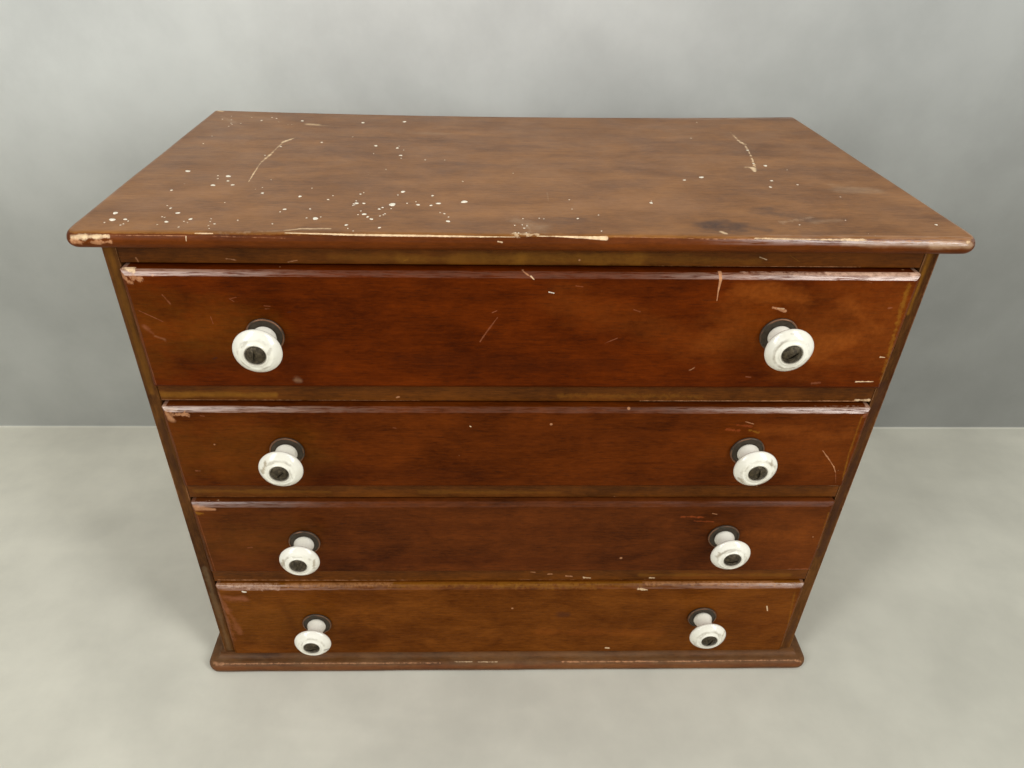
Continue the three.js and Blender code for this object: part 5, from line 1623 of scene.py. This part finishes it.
class CABINET_OT_backplates(bpy.types.Operator):
    """Builds the eight tarnished plates behind the knobs"""

    bl_idname = "cabinet.backplates"
    bl_label = "Backplates"

    # Radius of the hole, thickness, bevel at the back, half width and rise of the rim's bead, and how far
    # out the face is flat
    bore, thick, bevel, bead, flat = 2.7 * MM, 1.0 * MM, 0.2 * MM, (0.75 * MM, 0.7 * MM), 9 * MM

    def execute(self, context):
        radius = forms().plate_radius
        turn = np.linspace(0, math.pi, 9)
        width, rise = self.bead
        bead = np.column_stack([radius - width + width * np.cos(turn), self.thick + rise * np.sin(turn)])
        profile = np.vstack([
            [[self.bore, 0.0], [radius - self.bevel, 0.0], [radius, self.bevel]], bead,
            [[self.flat, self.thick], [self.bore, self.thick], [self.bore, 0.0]],
        ])
        material = self.tarnish(tones())
        for drawer, hand in KNOBS:
            node, name = f"{drawer}_{hand}_backplate", f"{drawer}_{hand}_tarnished_plate"
            points, faces, shares = turned(profile, 64)
            place = seat_place(drawer, hand, "backplate")
            mesh = make_mesh(name, out_of_face(points, place), faces, shares, weld=True)
            show(name, mesh, material, drawer, [node])
        return {"FINISHED"}

    def tarnish(self, paint):
        """Dark tarnish that is rubbed off on the bead of the rim, by the share of the profile."""
        material, w, shader = start_material("Tarnished plate", Specular_IOR_Level=0.5)
        place, along = w.place(), w.along_profile()
        bloom = w.between(w.noise(place, 320.0, 5.0, 0.65), 0.3, 0.7)
        rim = w.between(w.off(along, 0.45), 0.1, 0.24, 1.0, 0.0)
        rubbed = w.maths("MULTIPLY", rim, w.between(w.noise(place, 90.0, 3.0), 0.36, 0.6))
        colour = w.mix(bloom, opaque(paint.plate), shaded(paint.plate, 1.6))
        colour = w.mix(rubbed, colour, opaque(paint.plate_rim))
        w.feed(
            shader, Base_Color=colour, Metallic=w.between(rubbed, 0.0, 1.0, 0.45, 0.7),
            Roughness=w.between(bloom, 0.0, 1.0, 0.38, 0.6), Normal=w.bump(bloom, 0.4, 0.1 * MM),
        )
        return material


class CABINET_OT_bolts(bpy.types.Operator):
    """Builds the eight bolts with their domed and slotted heads, and their nuts"""

    bl_idname = "cabinet.bolts"
    bl_label = "Bolts and nuts"

    def execute(self, context):
        form = forms()
        material = self.oxide(tones())
        for number, (drawer, hand) in enumerate(KNOBS):
            node, name = f"{drawer}_{hand}_bolt", f"{drawer}_{hand}_slotted_bolt"
            low, high = corners(node)
            place = front_place(drawer, hand)
            top, tail = place[1] - low[1], place[1] - high[1]
            points, faces = self.bolt(form, top, tail)
            mesh = make_mesh(name, out_of_face(points, place), faces, weld=True)
            points, faces = self.slot(form, top, form.slot_turns[number])
            cutter = make_mesh(name + "_slot", out_of_face(points, place), faces, weld=True)
            show(name, combined(name, mesh, cutter, "DIFFERENCE"), material, drawer, [node])
        return {"FINISHED"}

    def bolt(self, form, top, tail):
        """Profile of the bolt from the top of its dome to the end of its tail. The dome's height is its
        rise times one less the square of the share of the radius, and the nut's circle becomes a
        hexagon."""
        head, shank, rise, edge, ease = form.bolt_head, 2.4 * MM, 2.3 * MM, 0.85 * MM, 0.2 * MM
        share = np.sin(np.linspace(0, math.pi / 2, 12))
        dome = np.column_stack([share * (head - ease), top - rise * share**2])
        seat = top - rise - 1 * MM
        nut, nut_low, nut_high, bevel = 5.2 * MM, tail + 1.5 * MM, tail + 5.0 * MM, (0.7 * MM, 0.3 * MM)
        rest = np.array([
            [head, top - rise - ease], [head, top - rise - edge], [head - 0.15 * MM, seat], [shank, seat],
            [shank, nut_high], [nut - bevel[0], nut_high], [nut, nut_high - bevel[1]],
            [nut, nut_low + bevel[1]], [nut - bevel[0], nut_low], [shank, nut_low],
            [shank, tail + 0.4 * MM], [shank - 0.4 * MM, tail], [0.0, tail],
        ])
        profile = np.vstack([dome, rest])
        sides = np.where(profile[:, 0] == nut, 6, 0)
        points, faces, _ = turned(profile[::-1], 60, sides[::-1])
        return points, faces

    def slot(self, form, top, turn):
        """Block that cuts the slot: its floor lies under the dome's top, and it is turned about the
        axis."""
        size = np.array([form.bolt_head + 1 * MM, form.slot_width / 2, 1.3 * MM])
        rows = [np.linspace(-1, 1, 9), np.linspace(-1, 1, 2), np.linspace(-1, 1, 2)]
        index, faces = shell(*rows)
        box = np.stack([row[index[:, axis]] for axis, row in enumerate(rows)], -1) * size
        box[:, 2] += top
        cos, sin = math.cos(turn), math.sin(turn)
        return box @ np.array([[cos, sin, 0], [-sin, cos, 0], [0, 0, 1]]), faces

    def oxide(self, paint):
        """Dark oxide with mottled brighter rubs."""
        material, w, shader = start_material("Oxidised bolt", Metallic=0.75, Specular_IOR_Level=0.5)
        mottle = w.between(w.noise(w.place(), 420.0, 5.0, 0.7), 0.35, 0.68)
        dull, rubbed = shaded(paint.bolt, 0.6), shaded(paint.bolt, 2.0)
        w.feed(
            shader, Base_Color=w.mix(mottle, dull, rubbed), Normal=w.bump(mottle, 0.5, 0.2 * MM),
            Roughness=w.between(mottle, 0.0, 1.0, 0.5, 0.34),
        )
        return material


OPERATORS = (
    CABINET_OT_stage, CABINET_OT_top_board, CABINET_OT_base_board, CABINET_OT_carcass,
    CABINET_OT_drawer_fronts, CABINET_OT_drawer_boxes, CABINET_OT_knobs, CABINET_OT_backplates,
    CABINET_OT_bolts,
)


class CABINET_PT_panel(bpy.types.Panel):
    """Lists the pieces and the settings of the cabinet"""

    bl_label = "Haberdashery cabinet"
    bl_idname = "CABINET_PT_panel"
    bl_space_type = "VIEW_3D"
    bl_region_type = "UI"
    bl_category = "Cabinet"

    def draw(self, context):
        for operator in OPERATORS:
            self.layout.operator(operator.bl_idname)
        for group in ("cabinet_forms", "cabinet_tones", "cabinet_stage"):
            settings = getattr(context.scene, group)
            box = self.layout.box()
            for label in settings.bl_rna.properties.keys():
                if label not in ("rna_type", "name"):
                    box.prop(settings, label)


CLASSES = (CabinetForms, CabinetTones, CabinetStage, *OPERATORS, CABINET_PT_panel)


def register():
    for item in CLASSES:
        bpy.utils.register_class(item)
    bpy.types.Scene.cabinet_forms = PointerProperty(type=CabinetForms)
    bpy.types.Scene.cabinet_tones = PointerProperty(type=CabinetTones)
    bpy.types.Scene.cabinet_stage = PointerProperty(type=CabinetStage)


def unregister():
    del bpy.types.Scene.cabinet_stage
    del bpy.types.Scene.cabinet_tones
    del bpy.types.Scene.cabinet_forms
    for item in reversed(CLASSES):
        bpy.utils.unregister_class(item)


def main():
    register()
    for build in GROUPS:
        build()
    bpy.ops.cabinet.stage()
    bpy.ops.cabinet.top_board()
    bpy.ops.cabinet.base_board()
    bpy.ops.cabinet.carcass()
    bpy.ops.cabinet.drawer_fronts()
    bpy.ops.cabinet.drawer_boxes()
    bpy.ops.cabinet.knobs()
    bpy.ops.cabinet.backplates()
    bpy.ops.cabinet.bolts()


if __name__ == "__main__":
    main()
